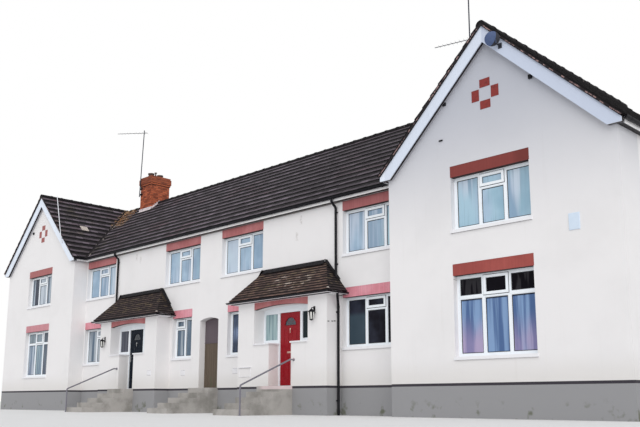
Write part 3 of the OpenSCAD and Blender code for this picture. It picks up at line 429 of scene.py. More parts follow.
@maker("brick", 0.2)
def brick(f, c):
    """Fired bricks: each with its own tone, sooty near the top, with painted shade under the corbel and on faces
    looking down.
    """
    x, y, z = f.axes()
    fine = f.noise(55, 4)
    f.start(darker(c.brick, 0.7), (0.58, 0.15, 0.068), f.tone())
    f.layer(darker(c.brick, 0.35), fine.rise(0.52, 0.75) * 0.5)
    f.layer((0.08, 0.045, 0.035), (z + f.noise(2, 3) * 0.5).rise(9.2, 10.0) * 0.35)
    # Painted shade under the corbel and on faces that look down
    f.layer((0.03, 0.012, 0.01), ((abs(z - CHIMNEY_Z + 0.385) < 0.016) + f.underside()) * 0.85)
    f.surface(0.88, (fine, 0.6, 0.004))


@maker(shine=0.3)
def white_board(f, c):
    """Painted boards with faint grime in streaks; painted shade on the right boards and soffits, painted light on the
    fascias.
    """
    x, y, z = f.axes()
    f.start((0.8, 0.865, 0.97), (0.5, 0.5, 0.55), f.patches(1.2, 4, 0.52, 0.8, (3, 3, 0.8)) * 0.3)
    # Painted shade: boards on the right are bluer and darker, most beyond the wing's middle
    f.layer((0.52, 0.58, 0.72), (x > MAIN_HALF) * (0.35 + (x > WING_X) * 0.45))
    # Painted light: fascias below the eaves are near white, brighter than the other boards
    f.layer((0.97, 0.96, 0.97), (z < EAVE_Z - 0.02) * (y > VERGE_Y + 0.05))
    # Painted shade on the soffits: grey under the verges, black next to the boards, under the eaves and at the wing
    # ends
    inset = abs(y - MIDDLE_Y) - MIDDLE_Y
    under = (inset > WING_OUT) * (inset < WING_OUT + TILE_OUT - 0.0605)
    f.layer((0.4, 0.4, 0.43), under)
    joint = (inset > WING_OUT + 0.058) * under
    eaves = (inset > 0) * (inset < SOFFIT) * (abs(x) < MAIN_HALF)
    flank = abs(abs(x) - WING_X) - WING_W / 2
    ends = (flank > 0) * (flank < SOFFIT) * (inset < WING_OUT + 0.05)
    f.layer((0.015, 0.012, 0.014), joint + eaves + ends)
    f.surface(0.5, (f.noise(45, 2), 0.08, 0.002))


@maker("white_plastic")
def white_frame(f, c):
    f.shader.inputs["Coat Weight"].default_value = 0.15
    grime = f.noise(2.2, 3)
    f.start(c.board, (0.66, 0.66, 0.7), grime.rise(0.55, 0.8) * 0.3)
    f.surface(0.28 + grime * 0.1, (f.noise(30, 2), 0.04, 0.001))


@maker("white_sills")
def white_sill(f, c):
    f.start((0.86, 0.86, 0.89), (0.5, 0.48, 0.46), f.patches(1.6, 4, 0.58, 0.8, (2.5, 1, 1)) * 0.3)
    # Painted shade on faces that look down
    f.layer((0.2, 0.185, 0.19), f.underside(0.6))
    f.surface(0.6, (f.noise(50, 2), 0.15, 0.002))


@maker(shine=0.25)
def red_lintel(f, c):
    """Painted brick-on-end lintels: brick red on the wings and above, faded to pink lower down, with faint joints and
    painted shade.
    """
    x, y, z = f.axes()
    fade, fine = f.patches(1.3, 4, 0.4, 0.7), f.noise(40, 3)
    joint = 1 - f.maths("FRACT", x * 13.3).rise(0.0, 0.09)
    middle, low = abs(x) < MAIN_HALF, z < 4.0
    f.start(c.lintel, (0.42, 0.1, 0.085), fade * 0.7)
    f.layer(darker(c.lintel, 0.62), (1 - low) * (x > MAIN_HALF) * 0.85)
    f.layer(f.blend((0.42, 0.16, 0.16), (0.64, 0.3, 0.34), low), (x < -MAIN_HALF) * 0.9)
    f.layer(f.blend((0.45, 0.155, 0.158), (0.55, 0.22, 0.225), fade), middle)
    f.layer((0.33, 0.11, 0.115), x.between(5.5, MAIN_HALF, 0.05) * (1 - low) * 0.5)
    f.layer(f.blend((0.68, 0.25, 0.3), (0.8, 0.37, 0.44), fade), middle * low * (y > -0.1))
    f.layer(darker(c.lintel, 0.55), fine.rise(0.55, 0.8) * 0.3)
    f.layer(darker(c.lintel, 0.5), f.patches(11, 1, 0.42, 0.58, (1, 0.05, 0.02)) * 0.08)
    # Painted shade on the lintels' tops below the eaves
    f.layer((0.06, 0.028, 0.028), (z > EAVES_SHADE) * middle * 0.6)
    f.layer(darker(c.lintel, 0.4), joint * 0.4)
    f.layer(darker(c.lintel, 0.45), x.between(11.5, 12.2, 0.25) * (1 - low) * 0.7)
    # Painted shade on faces that look down, such as the arch soffits
    f.layer((0.035, 0.014, 0.014), f.underside())
    f.surface(0.7, (fine * 0.5 - joint, 0.25, 0.003))


@maker(shine=0.2)
def upper_glass(f, c):
    """Glass with a painted reflection of a pale sky and soft net curtains behind, teal in parts of the right wing."""
    x, y, z = f.axes()
    fold = f.patches(7.5, 3, 0.42, 0.6, (1, 1, 0.04))
    net = f.patches(1.3, 2, 0.42, 0.56, (1, 1, 0.25))
    # Painted reflection of a pale sky as the glass's base colour
    f.start((0.26, 0.38, 0.52), (0.42, 0.56, 0.7), f.patches(0.8, 3, 0.35, 0.65))
    f.layer((0.4, 0.62, 0.66), f.patches(0.9, 2, 0.5, 0.6, (1, 1, 0.3)) * 0.6)
    f.layer((0.62, 0.7, 0.8), x.between(0.56, 1.15, 0.05) * 0.7)
    f.layer((0.2, 0.27, 0.36), f.patches(22, 2, 0.56, 0.66, (1, 1, 0.03)) * 0.35)
    f.layer((0.36, 0.64, 0.7), (x > MAIN_HALF) * f.patches(1.6, 2, 0.4, 0.6, (1, 1, 0.4)) * 0.3)
    f.layer(f.blend((0.26, 0.36, 0.48), (0.6, 0.67, 0.78), fold), net * 0.8)
    f.layer(f.blend((0.045, 0.06, 0.09), (0.5, 0.56, 0.62), fold), (x < -MAIN_HALF) * 0.75)
    f.layer((0.012, 0.022, 0.05), x.between(-11.4, -11.06, 0.05))
    f.surface(0.08)


@maker(shine=0.05)
def lower_glass(f, c):
    """Dark glass: blue to pink curtains in the wings, dim rooms beside them, pale green nets in the porch screens."""
    x, y, z = f.axes()
    cloud = f.patches(1.1, 3, 0.4, 0.7)
    fold = f.patches(7.5, 3, 0.4, 0.6, (1, 1, 0.05))
    wing, left, high = abs(x) > MAIN_HALF, x < -0.1, z.rise(2.52, 2.56)
    # Curtains and top lights of the wings
    outer = abs(abs(x) - WING_WINDOW_X) > 0.33
    blush = (1 - z.rise(1.55, 2.3)) * f.patches(1.7, 2, 0.36, 0.54, (1, 1, 0.3)) * outer
    blue = f.blend((0.085, 0.15, 0.31), (0.235, 0.355, 0.57), fold)
    pink = f.blend((0.25, 0.23, 0.41), (0.43, 0.36, 0.54), fold)
    f.start((0.008, 0.007, 0.012), (0.035, 0.04, 0.06), cloud)
    f.layer(f.blend(blue, pink, blush), wing * (1 - high))
    f.layer(f.blend((0.14, 0.2, 0.27), (0.5, 0.56, 0.62), fold), left * (1 - wing * high) * 0.85)
    f.layer((0.34, 0.42, 0.48), (x < -MAIN_HALF) * high * 0.8)
    f.layer((0.04, 0.055, 0.08), x.between(-10.35, -9.7, 0.03) * 0.7)
    f.layer((0.2, 0.33, 0.34), x.between(-11.1, -10.4, 0.05) * (1 - high) * fold * 0.6)
    f.layer((0.003, 0.002, 0.004), wing * high * (x > 0) * 0.95)
    hint = f.patches(9, 2, 0.52, 0.6, (1, 1, 0.1)) * f.patches(0.9, 2, 0.46, 0.52)
    f.layer((0.06, 0.058, 0.065), wing * high * hint * outer * 0.4)
    # Dim rooms of the middle houses
    f.layer((0.055, 0.085, 0.11), x.between(5.8, 6.45, 0.05) * z.between(1.75, 2.5, 0.15) * 0.8)
    f.layer(f.blend((0.05, 0.065, 0.1), (0.2, 0.26, 0.4), fold * cloud), (abs(x) < 2.4) * (1 - left))
    # Side lights of the porches
    screen = (y < -0.05) * (y > -0.3) * (z > 1.9)
    side = abs(x - PORCH_X) < 1.1
    past = side * (x > PORCH_X) + (1 - side) * (x > -PORCH_X)
    f.layer(f.blend((0.2, 0.3, 0.34), (0.42, 0.55, 0.56), fold), screen)
    f.layer(f.blend((0.08, 0.085, 0.11), (0.13, 0.14, 0.17), fold), screen * left)
    f.layer((0.02, 0.03, 0.035), screen * past)
    f.surface(0.08)


@maker()
def fan_glass(f, c):
    cell = f.node("ShaderNodeTexVoronoi", {}, {"Vector": f.place, "Scale": 30})
    f.start((0.018, 0.026, 0.035), (0.075, 0.1, 0.12), cell)
    f.layer((0.008, 0.012, 0.02), (f.axes()[0] < 0) * 0.85)
    f.surface(0.15, (cell, 0.3, 0.002))


def door_paint(f, c, metal, paint=None):
    """Gloss paint on the leaf, and plated metal on what stands in front of its face."""
    x, y, z = f.axes()
    paint = paint or c.door
    fitting = (DOOR_Y - y).rise(0.0002, 0.0006) * (z < DOOR_SILL + FAN_Z - 0.06)
    grime = f.noise(6, 4)
    f.start(paint, darker(paint, 0.7), grime.rise(0.5, 0.8) * 0.4)
    f.layer(metal, fitting)
    f.surface(0.22 + grime * 0.1, (f.noise(70, 2), 0.05, 0.001), fitting * 0.8)


@maker(shine=0.2)
def brown_door(f, c):
    """Weathered boards: purplish above the weather bar, olive brown below."""
    x, y, z = f.axes()
    grain = f.noise(3, 5, (9, 9, 0.7))
    f.start((0.1, 0.078, 0.09), (0.15, 0.125, 0.14), grain)
    f.layer(f.blend((0.085, 0.068, 0.05), (0.17, 0.13, 0.1), grain), 1 - z.rise(2.12, 2.14))
    f.layer((0.1, 0.12, 0.07), f.patches(4, 4, 0.5, 0.7) * (1 - z.rise(0.9, 1.35)) * 0.6)
    f.surface(0.8, (grain, 0.5, 0.003))


@maker()
def step_concrete(f, c):
    """Cast steps, pinkish on the right door's slab."""
    x, y, z = f.axes()
    fine = f.noise(38, 4)
    f.start((0.42, 0.4, 0.38), (0.26, 0.25, 0.23), f.patches(1.7, 4, 0.4, 0.7))
    f.layer((0.8, 0.66, 0.67), z.rise(0.655, 0.675) * x.rise(3.4, 3.7) * 0.85)
    f.layer((0.14, 0.13, 0.12), fine.rise(0.58, 0.8) * 0.5)
    f.surface(0.9, (fine, 0.5, 0.004))


MAKERS.update({
    # Warm colour, dark colour and share of bare patches
    "porch_tile_left": (porch_tile, "roof_tiles", 0.2, ((0.1, 0.065, 0.06), (0.028, 0.02, 0.022), 0.12)),
    "porch_tile_right": (porch_tile, "roof_tiles", 0.2, ((0.21, 0.13, 0.105), (0.042, 0.029, 0.029), 0.95)),
    # Darker copies of the tile colours on the hip ends: painted shade
    "porch_tile_end_shaded": (porch_tile, "roof_tiles", 0.2, ((0.065, 0.048, 0.048), (0.022, 0.017, 0.019), 0.0)),
    # Metal and paint
    "red_door": (door_paint, "door_red", 0.15, ((0.62, 0.42, 0.36),)),
    "dark_door": (door_paint, "door_dark", 0.04, ((0.5, 0.5, 0.5), (0.008, 0.013, 0.022))),
})

# Mottled finishes: slot, shine, two colours, noise scale and detail, levels between the colours, roughness, strength
# and depth of the bump, and where needed how far the roughness varies, metal, and a layer's colour and place
for name, slot, shine, *values in (
    ("tile_bed", "roof_tiles", 0.2, (0.012, 0.01, 0.012), (0.03, 0.026, 0.028), (30, 3), None, 0.9, (0.4, 0.004)),
    ("mortar", "concrete", 0.5, (0.62, 0.55, 0.5), (0.36, 0.31, 0.28), (34, 4), (0.4, 0.7), 0.95, (0.8, 0.006)),
    ("verge_mortar", "concrete", 0.5, (0.34, 0.22, 0.21), (0.05, 0.035, 0.04), (12, 4), (0.42, 0.6), 0.95,
     (0.8, 0.006)),
    ("orange_debris", "clay", 0.5, (0.36, 0.17, 0.07), (0.14, 0.08, 0.05), (24, 4), (0.4, 0.65), 0.95, (0.9, 0.01)),
    ("felt", "roof_tiles", 0.2, (0.008, 0.007, 0.009), (0.022, 0.02, 0.023), (18, 4), (0.45, 0.7), 0.8,
     (0.5, 0.006)),
    ("lead", "aerial_metal", 0.5, (0.74, 0.66, 0.68), (0.42, 0.38, 0.4), (9, 4), (0.45, 0.75), 0.55, (0.4, 0.006),
     0.2),
    ("brick_joint", None, 0.5, (0.26, 0.13, 0.09), (0.13, 0.07, 0.055), (50, 3), None, 0.95, (0.5, 0.003)),
    ("clay_pot", None, 0.5, (0.1, 0.055, 0.045), (0.04, 0.03, 0.03), (20, 4), (0.4, 0.7), 0.85, (0.5, 0.004)),
    ("gasket", "black_plastic", 0.5, (0.012, 0.013, 0.018), (0.03, 0.032, 0.04), (60, 2), None, 0.6, (0.2, 0.001)),
    ("black_pipe", "black_plastic", 0.12, (0.005, 0.005, 0.007), (0.014, 0.014, 0.018), (8, 3), None, 0.4,
     (0.08, 0.002)),
    ("plate_paint", "white_plastic", 0.2, (0.7, 0.8, 0.92), (0.62, 0.73, 0.86), (8, 3), None, 0.5, (0.05, 0.001)),
    ("lantern_glass", "window_glass", 0.5, (0.85, 0.85, 0.82), (0.6, 0.6, 0.57), (30, 2), None, 0.25, (0.2, 0.001)),
    ("pale_floor", None, 0.5, (0.78, 0.78, 0.78), (0.74, 0.74, 0.74), (0.8, 3), None, 0.9, None),
    ("gable_tile", None, 0.2, (0.25, 0.038, 0.034), (0.14, 0.028, 0.026), (14, 4), (0.45, 0.75), 0.55, (0.2, 0.003),
     0, 0, (0.4, 0.16, 0.15), lambda x, y, z: (x < 0) * 0.7),
    # White below, with a black upper part that merges with the tiles' edges
    ("porch_gutter", None, 0.2, (0.86, 0.84, 0.86), (0.7, 0.68, 0.7), (8, 3), None, 0.5, (0.08, 0.002),
     0, 0, (0.01, 0.009, 0.012), lambda x, y, z: z > PORCH_EDGE_Z - 0.085),
    # Dark masts and hinges, and the pale pole on the left gable
    ("grey_metal", None, 0.5, (0.02, 0.026, 0.042), (0.012, 0.014, 0.02), (14, 4), (0.45, 0.7), 0.45, (0.15, 0.002),
     0, 0.3, (0.75, 0.77, 0.82), lambda x, y, z: y < -0.6),
    # A blue-grey dish on a dark bracket
    ("dish_grey", None, 0.2, (0.09, 0.13, 0.26), (0.055, 0.085, 0.17), (20, 3), None, 0.5, (0.1, 0.002),
     0, 0, (0.03, 0.032, 0.042), lambda x, y, z: y > VERGE_Y - 0.13),
    # The right rail turns pinkish white above about 1.45 m: a painted highlight
    ("rail_paint", None, 0.5, (0.17, 0.165, 0.2), (0.11, 0.08, 0.07), (25, 4), (0.6, 0.75), 0.4, (0.2, 0.002),
     0, 0, (0.62, 0.45, 0.46), lambda x, y, z: (x > 0) * z.rise(1.42, 1.5)),
):
    MAKERS[name] = (mottled, slot, shine, values)

# Faces on four corners in a ring or in two rows, and those of a block from the corners of its foot and its head
QUAD = [(0, 1, 2, 3)]
STRIP = [(0, 1, 3, 2)]
BLOCK_SIDES = [(0, 1, 5, 4), (1, 2, 6, 5), (2, 3, 7, 6), (3, 0, 4, 7)]
BLOCK_ENDS = [(0, 3, 2, 1), (4, 5, 6, 7)]


class Shape:
    """Vertices and faces of one piece, with a tone for each face."""

    def __init__(self):
        self.points = []
        self.faces = []
        self.tones = []

    def add(self, points, faces=QUAD, tone=0.5):
        first = len(self.points)
        self.points += [tuple(point) for point in points]
        self.faces += [tuple(first + i for i in face) for face in faces]
        self.tones += [tone] * len(faces)

    def block(self, base, x, y, z, chamfer=0.0, tone=0.5):
        """A block on three edge vectors; a chamfer is on its far face along z and leaves its near face open."""
        base, x, y, z = (Vector(v) for v in (base, x, y, z))
        foot = [base, base + x, base + x + y, base + y]
        if not chamfer:
            self.add(foot + [p + z for p in foot], BLOCK_ENDS + BLOCK_SIDES, tone)
            return
        side = z * (1 - chamfer / z.length)
        u, v = x.normalized() * chamfer, y.normalized() * chamfer
        head = [foot[0] + u + v, foot[1] - u + v, foot[2] - u - v, foot[3] + u - v]
        faces = BLOCK_SIDES + [tuple(4 + i for i in face) for face in BLOCK_SIDES] + [(8, 9, 10, 11)]
        self.add(foot + [p + side for p in foot] + [p + z for p in head], faces, tone)

    def tube(self, path, radii, sides):
        """A round bar along a list of points, with a radius at each."""
        path = [Vector(point) for point in path]
        points = []
        for i, (point, radius) in enumerate(zip(path, radii)):
            ahead = path[min(i + 1, len(path) - 1)] - path[max(i - 1, 0)]
            side = ahead.cross(UP)
            side = side.normalized() if side.length > 1e-6 else Vector((1, 0, 0))
            over = side.cross(ahead).normalized()
            points += [point + side * math.cos(a) * radius + over * math.sin(a) * radius
                       for a in (2 * math.pi * k / sides for k in range(sides))]
        last = (len(path) - 1) * sides
        faces = [(i + k, i + (k + 1) % sides, i + sides + (k + 1) % sides, i + sides + k)
                 for i in range(0, last, sides) for k in range(sides)]
        self.add(points, faces + [tuple(range(sides))[::-1], tuple(range(last, last + sides))])

    def ring(self, low, high, width, near, far, chamfer=0.004, grow=0.0):
        """A picture-frame ring in X and Z from near to far in Y, grown outwards, its near edges chamfered."""
        soft = near + math.copysign(chamfer, far - near)
        points = []
        for inset, y in ((0, far), (0, soft), (chamfer, near), (width - chamfer, near), (width, soft), (width, far)):
            left, foot = (v + inset - grow for v in low)
            right, head = (v - inset + grow for v in high)
            points += [(left, y, foot), (right, y, foot), (right, y, head), (left, y, head)]
        self.add(points, [(r * 4 + i, r * 4 + (i + 1) % 4, (r + 1) * 4 + (i + 1) % 4, (r + 1) * 4 + i)
                          for r in range(5) for i in range(4)])

    def mirrored(self):
        """Adds the mirror image across the middle of the row."""
        count = len(self.points)
        self.points += [(-x, y, z) for x, y, z in self.points]
        self.faces += [tuple(count + i for i in face[::-1]) for face in self.faces]
        self.tones += self.tones
        return self

    def piece(self, name, look, body=BODY, cuts=(), smooth=False):
        """Makes the object, trims it by planes, each for a part of its points, and lets it ride on its body."""
        mesh = bpy.data.meshes.new(name)
        mesh.from_pydata(self.points, [], self.faces)
        tone = mesh.attributes.new("tone", "FLOAT", "FACE")
        tone.data.foreach_set("value", self.tones)
        shape = bmesh.new()
        shape.from_mesh(mesh)
        for place, normal, chosen in cuts:
            parts = [v for v in shape.verts if chosen(v.co)]
            parts += [part for group in (shape.edges, shape.faces) for part in group
                      if any(chosen(v.co) for v in part.verts)]
            bmesh.ops.bisect_plane(shape, geom=parts, plane_co=place, plane_no=normal, clear_outer=True)
        bmesh.ops.recalc_face_normals(shape, faces=shape.faces[:])
        shape.to_mesh(mesh)
        shape.free()
        mesh.materials.append(finish(look))
        if smooth:
            mesh.shade_smooth()
        made = linked(name, mesh)
        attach(made, body)


def paint(**looks):
    """Gives carried-over solids a better finish: the nodes' names by look."""
    for look, nodes in looks.items():
        for node in nodes.split():
            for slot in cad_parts[node].material_slots:
                slot.material = finish(look)


def linked(name, data):
    """A new object in the scene."""
    made = bpy.data.objects.new(name, data)
    bpy.context.scene.collection.objects.link(made)
    return made


def lay_tiles(shape, corner, along, up, length, height, kind, dice, overhang=0.02, foot=0.0):
    """Courses of tiles on a slope, tipped up at their lower edges and a little out of true, with painted shade under
    each lap.
    """
    gauge, cover, lip = kind
    corner, along, up = Vector(corner), Vector(along).normalized(), Vector(up).normalized()
    normal = along.cross(up)
    normal *= math.copysign(1, normal.z)
    lap, gap, narrowest, back = 0.012, 0.004, 0.03, -0.004
    rows = max(1, round(height / gauge))
    step = height / rows
    for row in range(rows):
        low = row * step - (0 if row else overhang)
        high = min((row + 1) * step + lap, height)
        shift = cover / 2 if row % 2 else 0.0
        share = 0.0 if row else foot
        for k in range(-1, int(length / cover) + 2):
            left = max(k * cover - shift, 0.0)
            right = min((k + 1) * cover - shift - gap, length)
            if right - left < narrowest:
                continue
            tone = dice.random() * 0.75 + (dice.random() < 0.04) * 0.25
            start = low + dice.uniform(-0.004, 0.004)
            rise = lip + dice.uniform(-0.003, 0.003)
            tilt = dice.uniform(-0.0025, 0.0025)
            profile = ((start, back, 0), (start, rise - 0.006, 1), (start + 0.008, rise, 1), (high, 0.003, 0),
                       (high, back, 0))
            points = [corner + along * u + up * v + normal * (n + tip * lean)
                      for v, n, lean in profile for u, tip in ((left, tilt), (right, -tilt))]
            # The lower edge, bevel and sides of each tile take the tone of painted shade
            shape.add(points, [(0, 1, 3, 2), (2, 3, 5, 4), (0, 2, 4, 6, 8), (1, 9, 7, 5, 3)], SHADE_TONE)
            # The face in bands: painted shade under the lap above, lit in the middle, painted shade at the foot of the
            # first course
            levels = [0.0, share] if share else [0.0]
            levels += [0.44 + dice.uniform(-0.04, 0.04), 1.0]
            shades = [SHADE_TONE, 0.1 + tone, 0.0] if share else [0.1 + tone, 0.0]
            for start_share, end_share, shade in zip(levels, levels[1:], shades):
                shape.add([points[i].lerp(points[i + 2], part) for part in (start_share, end_share) for i in (4, 5)],
                          STRIP, shade)
            # A strip of painted shadow just below each course's lower edge
            if row:
                shape.add([corner + along * u + up * v + normal * n for v, n in ((start - lip, 0.01), (start, 0.012))
                           for u in (left, right + gap)], STRIP, SHADE_TONE)


def everywhere(spot):
    """For cuts that go through the whole piece."""
    return True


def valley_line(side, front):
    """The foot and the head of a valley."""
    return (Vector((WING_EAVE_X * side, MAIN_EAVE_Y if front else REAR_EAVE_Y, EAVE_Z)),
            Vector((VALLEY_TOP_X * side, MIDDLE_Y, MAIN_RIDGE_Z)))


def valley_cut(side, front, gap):
    """A point beside a valley and a level normal that points towards the wing."""
    foot, head = valley_line(side, front)
    line = head - foot
    normal = Vector((line.y, -line.x, 0)).normalized()
    normal *= math.copysign(1, normal.x * side)
    return foot + normal * gap, normal


class ROW_OT_walls(bpy.types.Operator):
    """Finish the rendered walls, floors, lintels and sills, and add vents and small fixtures"""
    bl_idname = "row.walls"
    bl_label = "Walls"

    def execute(self, context):
        paint(wall_paint="front_wall_upper front_wall_inner front_wall_outer passage_arch wing_front_left "
                         "wing_front_right flank_walls rear_wall rear_gables porch_piers porch_dwarf_walls porch_heads",
              floor_boards="ground_floor first_floor", red_lintel="lintels", white_sill="window_sills",
              gable_tile="gable_tiles", step_concrete="entrance_steps")
        vents, slats, pitch = Shape(), 9, 0.0235
        vents.ring(*BIG_VENT, 0.012, PORCH_FRONT - 0.012, PORCH_FRONT, 0.002)
        vents.block((2.18, PORCH_FRONT, 1.275), (0.54, 0, 0), (0, 0, 0.022), (0, -0.03, 0), 0.004)
        # Small vents with upright slats
        for x, z, face in VENTS:
            vents.ring((x - 0.12, z - 0.085), (x + 0.12, z + 0.085), 0.014, face - 0.008, face)
            for i in range(slats):
                vents.block((x - 0.1 + i * pitch, face - 0.006, z - 0.07), (0.012, 0, 0), (0, 0.006, 0), (0, 0, 0.14))
        vents.piece("air_vents", "white_sill")
        plate = Shape()
        x, z, width, height = WALL_PLATE
        plate.block((x, WING_FACE_Y, z), (width, 0, 0), (0, 0, height), (0, -0.02, 0), 0.006)
        plate.piece("wall_plate", "plate_paint")
        hooks = Shape()
        for y, z in HOOKS:
            hooks.block((PORCH_X + PORCH_HALF, y, z), (0, 0.06, 0), (0, 0, 0.018), (0.012, 0, 0), 0.003)
        hooks.block((9.42, WING_FACE_Y - 0.025, 6.275), (0.1, 0, 0), (0, 0.025, 0), (0, 0, 0.03))
        hooks.piece("wall_hooks", "black_pipe")
        return {"FINISHED"}


def slope(name, corner, along, up, length, foot, kind, dice, cuts=()):
    """The tiles of one slope, with painted shade over a share of its first course's height."""
    tiles = Shape()
    lay_tiles(tiles, corner, along, up, length, math.hypot(*up), kind, dice, foot=foot)
    tiles.piece(name, "roof_tile", cuts=cuts)


def verges(kind, dice):
    """Thick tile ends along the gables, bedded on patchy mortar, and one pale tile."""
    thick = (kind[0], 0.4, kind[2] + 0.004)
    deep, pitch, bare = 0.15, 0.11, 0.4
    long = math.hypot(WING_RUN, WING_RISE)
    for side, name in SIDES:
        tiles, bed = Shape(), Shape()
        for way in (-1, 1):
            foot = side * (WING_X + way * WING_RUN)
            up = Vector((-side * way * WING_RUN, 0, WING_RISE)).normalized()
            normal = Vector((side * way * WING_RISE, 0, WING_RUN)).normalized()
            for y, out in ((VERGE_Y, -1), (REAR_EAVE_Y, 1)):
                near = y + out * 0.004 - (deep if out > 0 else 0)
                lay_tiles(tiles, (foot, near, EAVE_Z), (0, 1, 0), up, deep, long, thick, dice)
                for k in range(int(long / pitch)):
                    if dice.random() < bare:
                        continue
                    base = Vector((foot, y, EAVE_Z)) + up * k * pitch - normal * dice.uniform(0.036, 0.05)
                    bed.block(base, up * dice.uniform(0.07, 0.12), normal * dice.uniform(0.015, 0.03),
                              (0, out * dice.uniform(0.003, 0.008), 0), 0.002)
        tiles.piece("verge_tiles_" + name, "roof_tile")
        bed.piece("verge_mortar_" + name, "verge_mortar")
    pale = Shape()
    across, up = Vector((0, 1, 0)), Vector((-WING_RUN, 0, WING_RISE)).normalized()
    normal = across.cross(up)
    pale.block(Vector((-WING_EAVE_X, 0.3, EAVE_Z)) + up * 1.98 + normal * 0.024, across * 0.31, up * 0.3,
               normal * 0.012, 0.004)
    pale.piece("pale_tile", "mortar")


def valleys(dice, steps=46, scraps=150):
    """A dark trough in each valley, with broken mortar along both cut edges and rubble in the left front one."""
    trough, bright, rubble = Shape(), Shape(), Shape()
    lift, rim = UP * 0.012, UP * 0.045
    for side in (-1, 1):
        for front in (True, False):
            foot, head = valley_line(side, front)
            across = valley_cut(side, front, 0)[1]
            worn = side < 0 and front
            for way in (-1, 1):
                wide = across * 0.1 * way
                trough.add([foot + lift * 0.6, head + lift * 0.6, head + wide + rim, foot + wide + rim])
            for i in range(steps):
                a, b = foot.lerp(head, i / steps), foot.lerp(head, (i + 0.92) / steps)
                patchy = 0.95 if worn and i / steps > 0.45 else 0.3
                for way in (-1, 1):
                    if dice.random() > patchy:
                        continue
                    near = across * way * dice.uniform(0.045, 0.065)
                    far = near + across * way * dice.uniform(0.03, 0.07)
                    tall = UP * dice.uniform(0.035, 0.06)
                    ring = [a + near, b + near, b + far, a + far]
                    bright.add([p + lift for p in ring] + [p + tall * h for p, h in zip(ring, (1, 0.9, 0.8, 0.85))],
                               BLOCK_ENDS[1:] + BLOCK_SIDES)
            for _ in range(scraps if worn else 0):
                spot = foot.lerp(head, dice.uniform(0.66, 0.97))
                spot += Vector((dice.uniform(0.02, 1.1) ** 1.5, 0, dice.uniform(0.02, 0.04)))
                size = dice.uniform(0.012, 0.035)
                ring = [spot + Vector((math.cos(k) * size, math.sin(k) * size, 0)) for k in range(6)]
                rubble.add(ring + [spot + UP * size], [(k, (k + 1) % 6, 6) for k in range(6)])
    trough.piece("valley_troughs", "tile_bed")
    bright.piece("valley_mortar", "mortar")
    rubble.piece("valley_rubble", "orange_debris")


class ROW_OT_roofs(bpy.types.Operator):
    """Lay the concrete tiles on the main roof and the wings, and point the valleys"""
    bl_idname = "row.roofs"
    bl_label = "Roof tiles"

    def execute(self, context):
        sizes = context.scene.tile_sizes
        kind, dice = (sizes.gauge, sizes.cover, sizes.lip), random.Random(sizes.seed)
        main_foot, wing_foot, overlap = 0.08, 0.2, 0.05
        paint(tile_bed="main_roof_front main_roof_rear wing_roof_left wing_roof_right", roof_tile="ridge_tiles")
        for way, part, y in ((1, "front", MAIN_EAVE_Y), (-1, "rear", REAR_EAVE_Y)):
            cuts = [(*valley_cut(side, way > 0, -overlap), everywhere) for side in (-1, 1)]
            slope("main_tiles_" + part, (-VALLEY_TOP_X, y, EAVE_Z), (1, 0, 0), (0, way * MAIN_RUN, MAIN_RISE),
                  2 * VALLEY_TOP_X, main_foot, kind, dice, cuts)
        for side, name in SIDES:
            for front, part, start, end in ((True, "front", VERGE_Y, MIDDLE_Y), (False, "rear", MIDDLE_Y, REAR_EAVE_Y)):
                place, normal = valley_cut(side, front, overlap)
                slope("wing_tiles_" + name + "_inner_" + part, (side * WING_EAVE_X, start, EAVE_Z), (0, 1, 0),
                      (side * WING_RUN, 0, WING_RISE), end - start, wing_foot, kind, dice,
                      [(place, -normal, everywhere)])
            slope("wing_tiles_" + name + "_outer", (side * (2 * WING_X - WING_EAVE_X), VERGE_Y, EAVE_Z),
                  (0, 1, 0), (-side * WING_RUN, 0, WING_RISE), REAR_EAVE_Y - VERGE_Y, wing_foot, kind, dice)
        verges(kind, dice)
        valleys(dice)
        return {"FINISHED"}


def strap(shape, centre, width, axis, steps=12):
    """A half ring round the underside of a gutter."""
    points, faces = [], []
    for i in range(steps + 1):
        angle = math.pi * i / steps
        for radius in (0.0565, 0.0605):
            for half in (-width / 2, width / 2):
                off = (half, math.cos(angle) * radius) if axis == "x" else (math.cos(angle) * radius, half)
                points.append([c + d for c, d in zip(centre, (*off, -math.sin(angle) * radius))])
    for a in range(0, 4 * steps, 4):
        faces += [(a + 2, a + 3, a + 7, a + 6), (a, a + 2, a + 6, a + 4), (a + 1, a + 5, a + 7, a + 3)]
    shape.add(points, faces)


class ROW_OT_eaves(bpy.types.Operator):
    """Finish the boards, gutters and pipes, and add gutter brackets and joints"""
    bl_idname = "row.eaves"
    bl_label = "Eaves"

    def execute(self, context):
        paint(white_board="bargeboards eaves_boards", black_pipe="gutters downpipes", porch_gutter="porch_gutters")
        rim, pitch, narrow, wide = EAVE_Z - 0.035, 1.05, 0.026, 0.07
        straps = Shape()
        for y in (-GUTTER_OFF, HOUSE_D + GUTTER_OFF):
            for k in range(-7, 8):
                strap(straps, (k * pitch, y, rim), narrow if k % 4 else wide, "x")
        for side in (-1, 1):
            for k in range(7):
                strap(straps, (side * (ROW_HALF + GUTTER_OFF), -0.45 + k * pitch, rim), narrow, "y")
        straps.piece("gutter_brackets", "black_pipe")
        return {"FINISHED"}


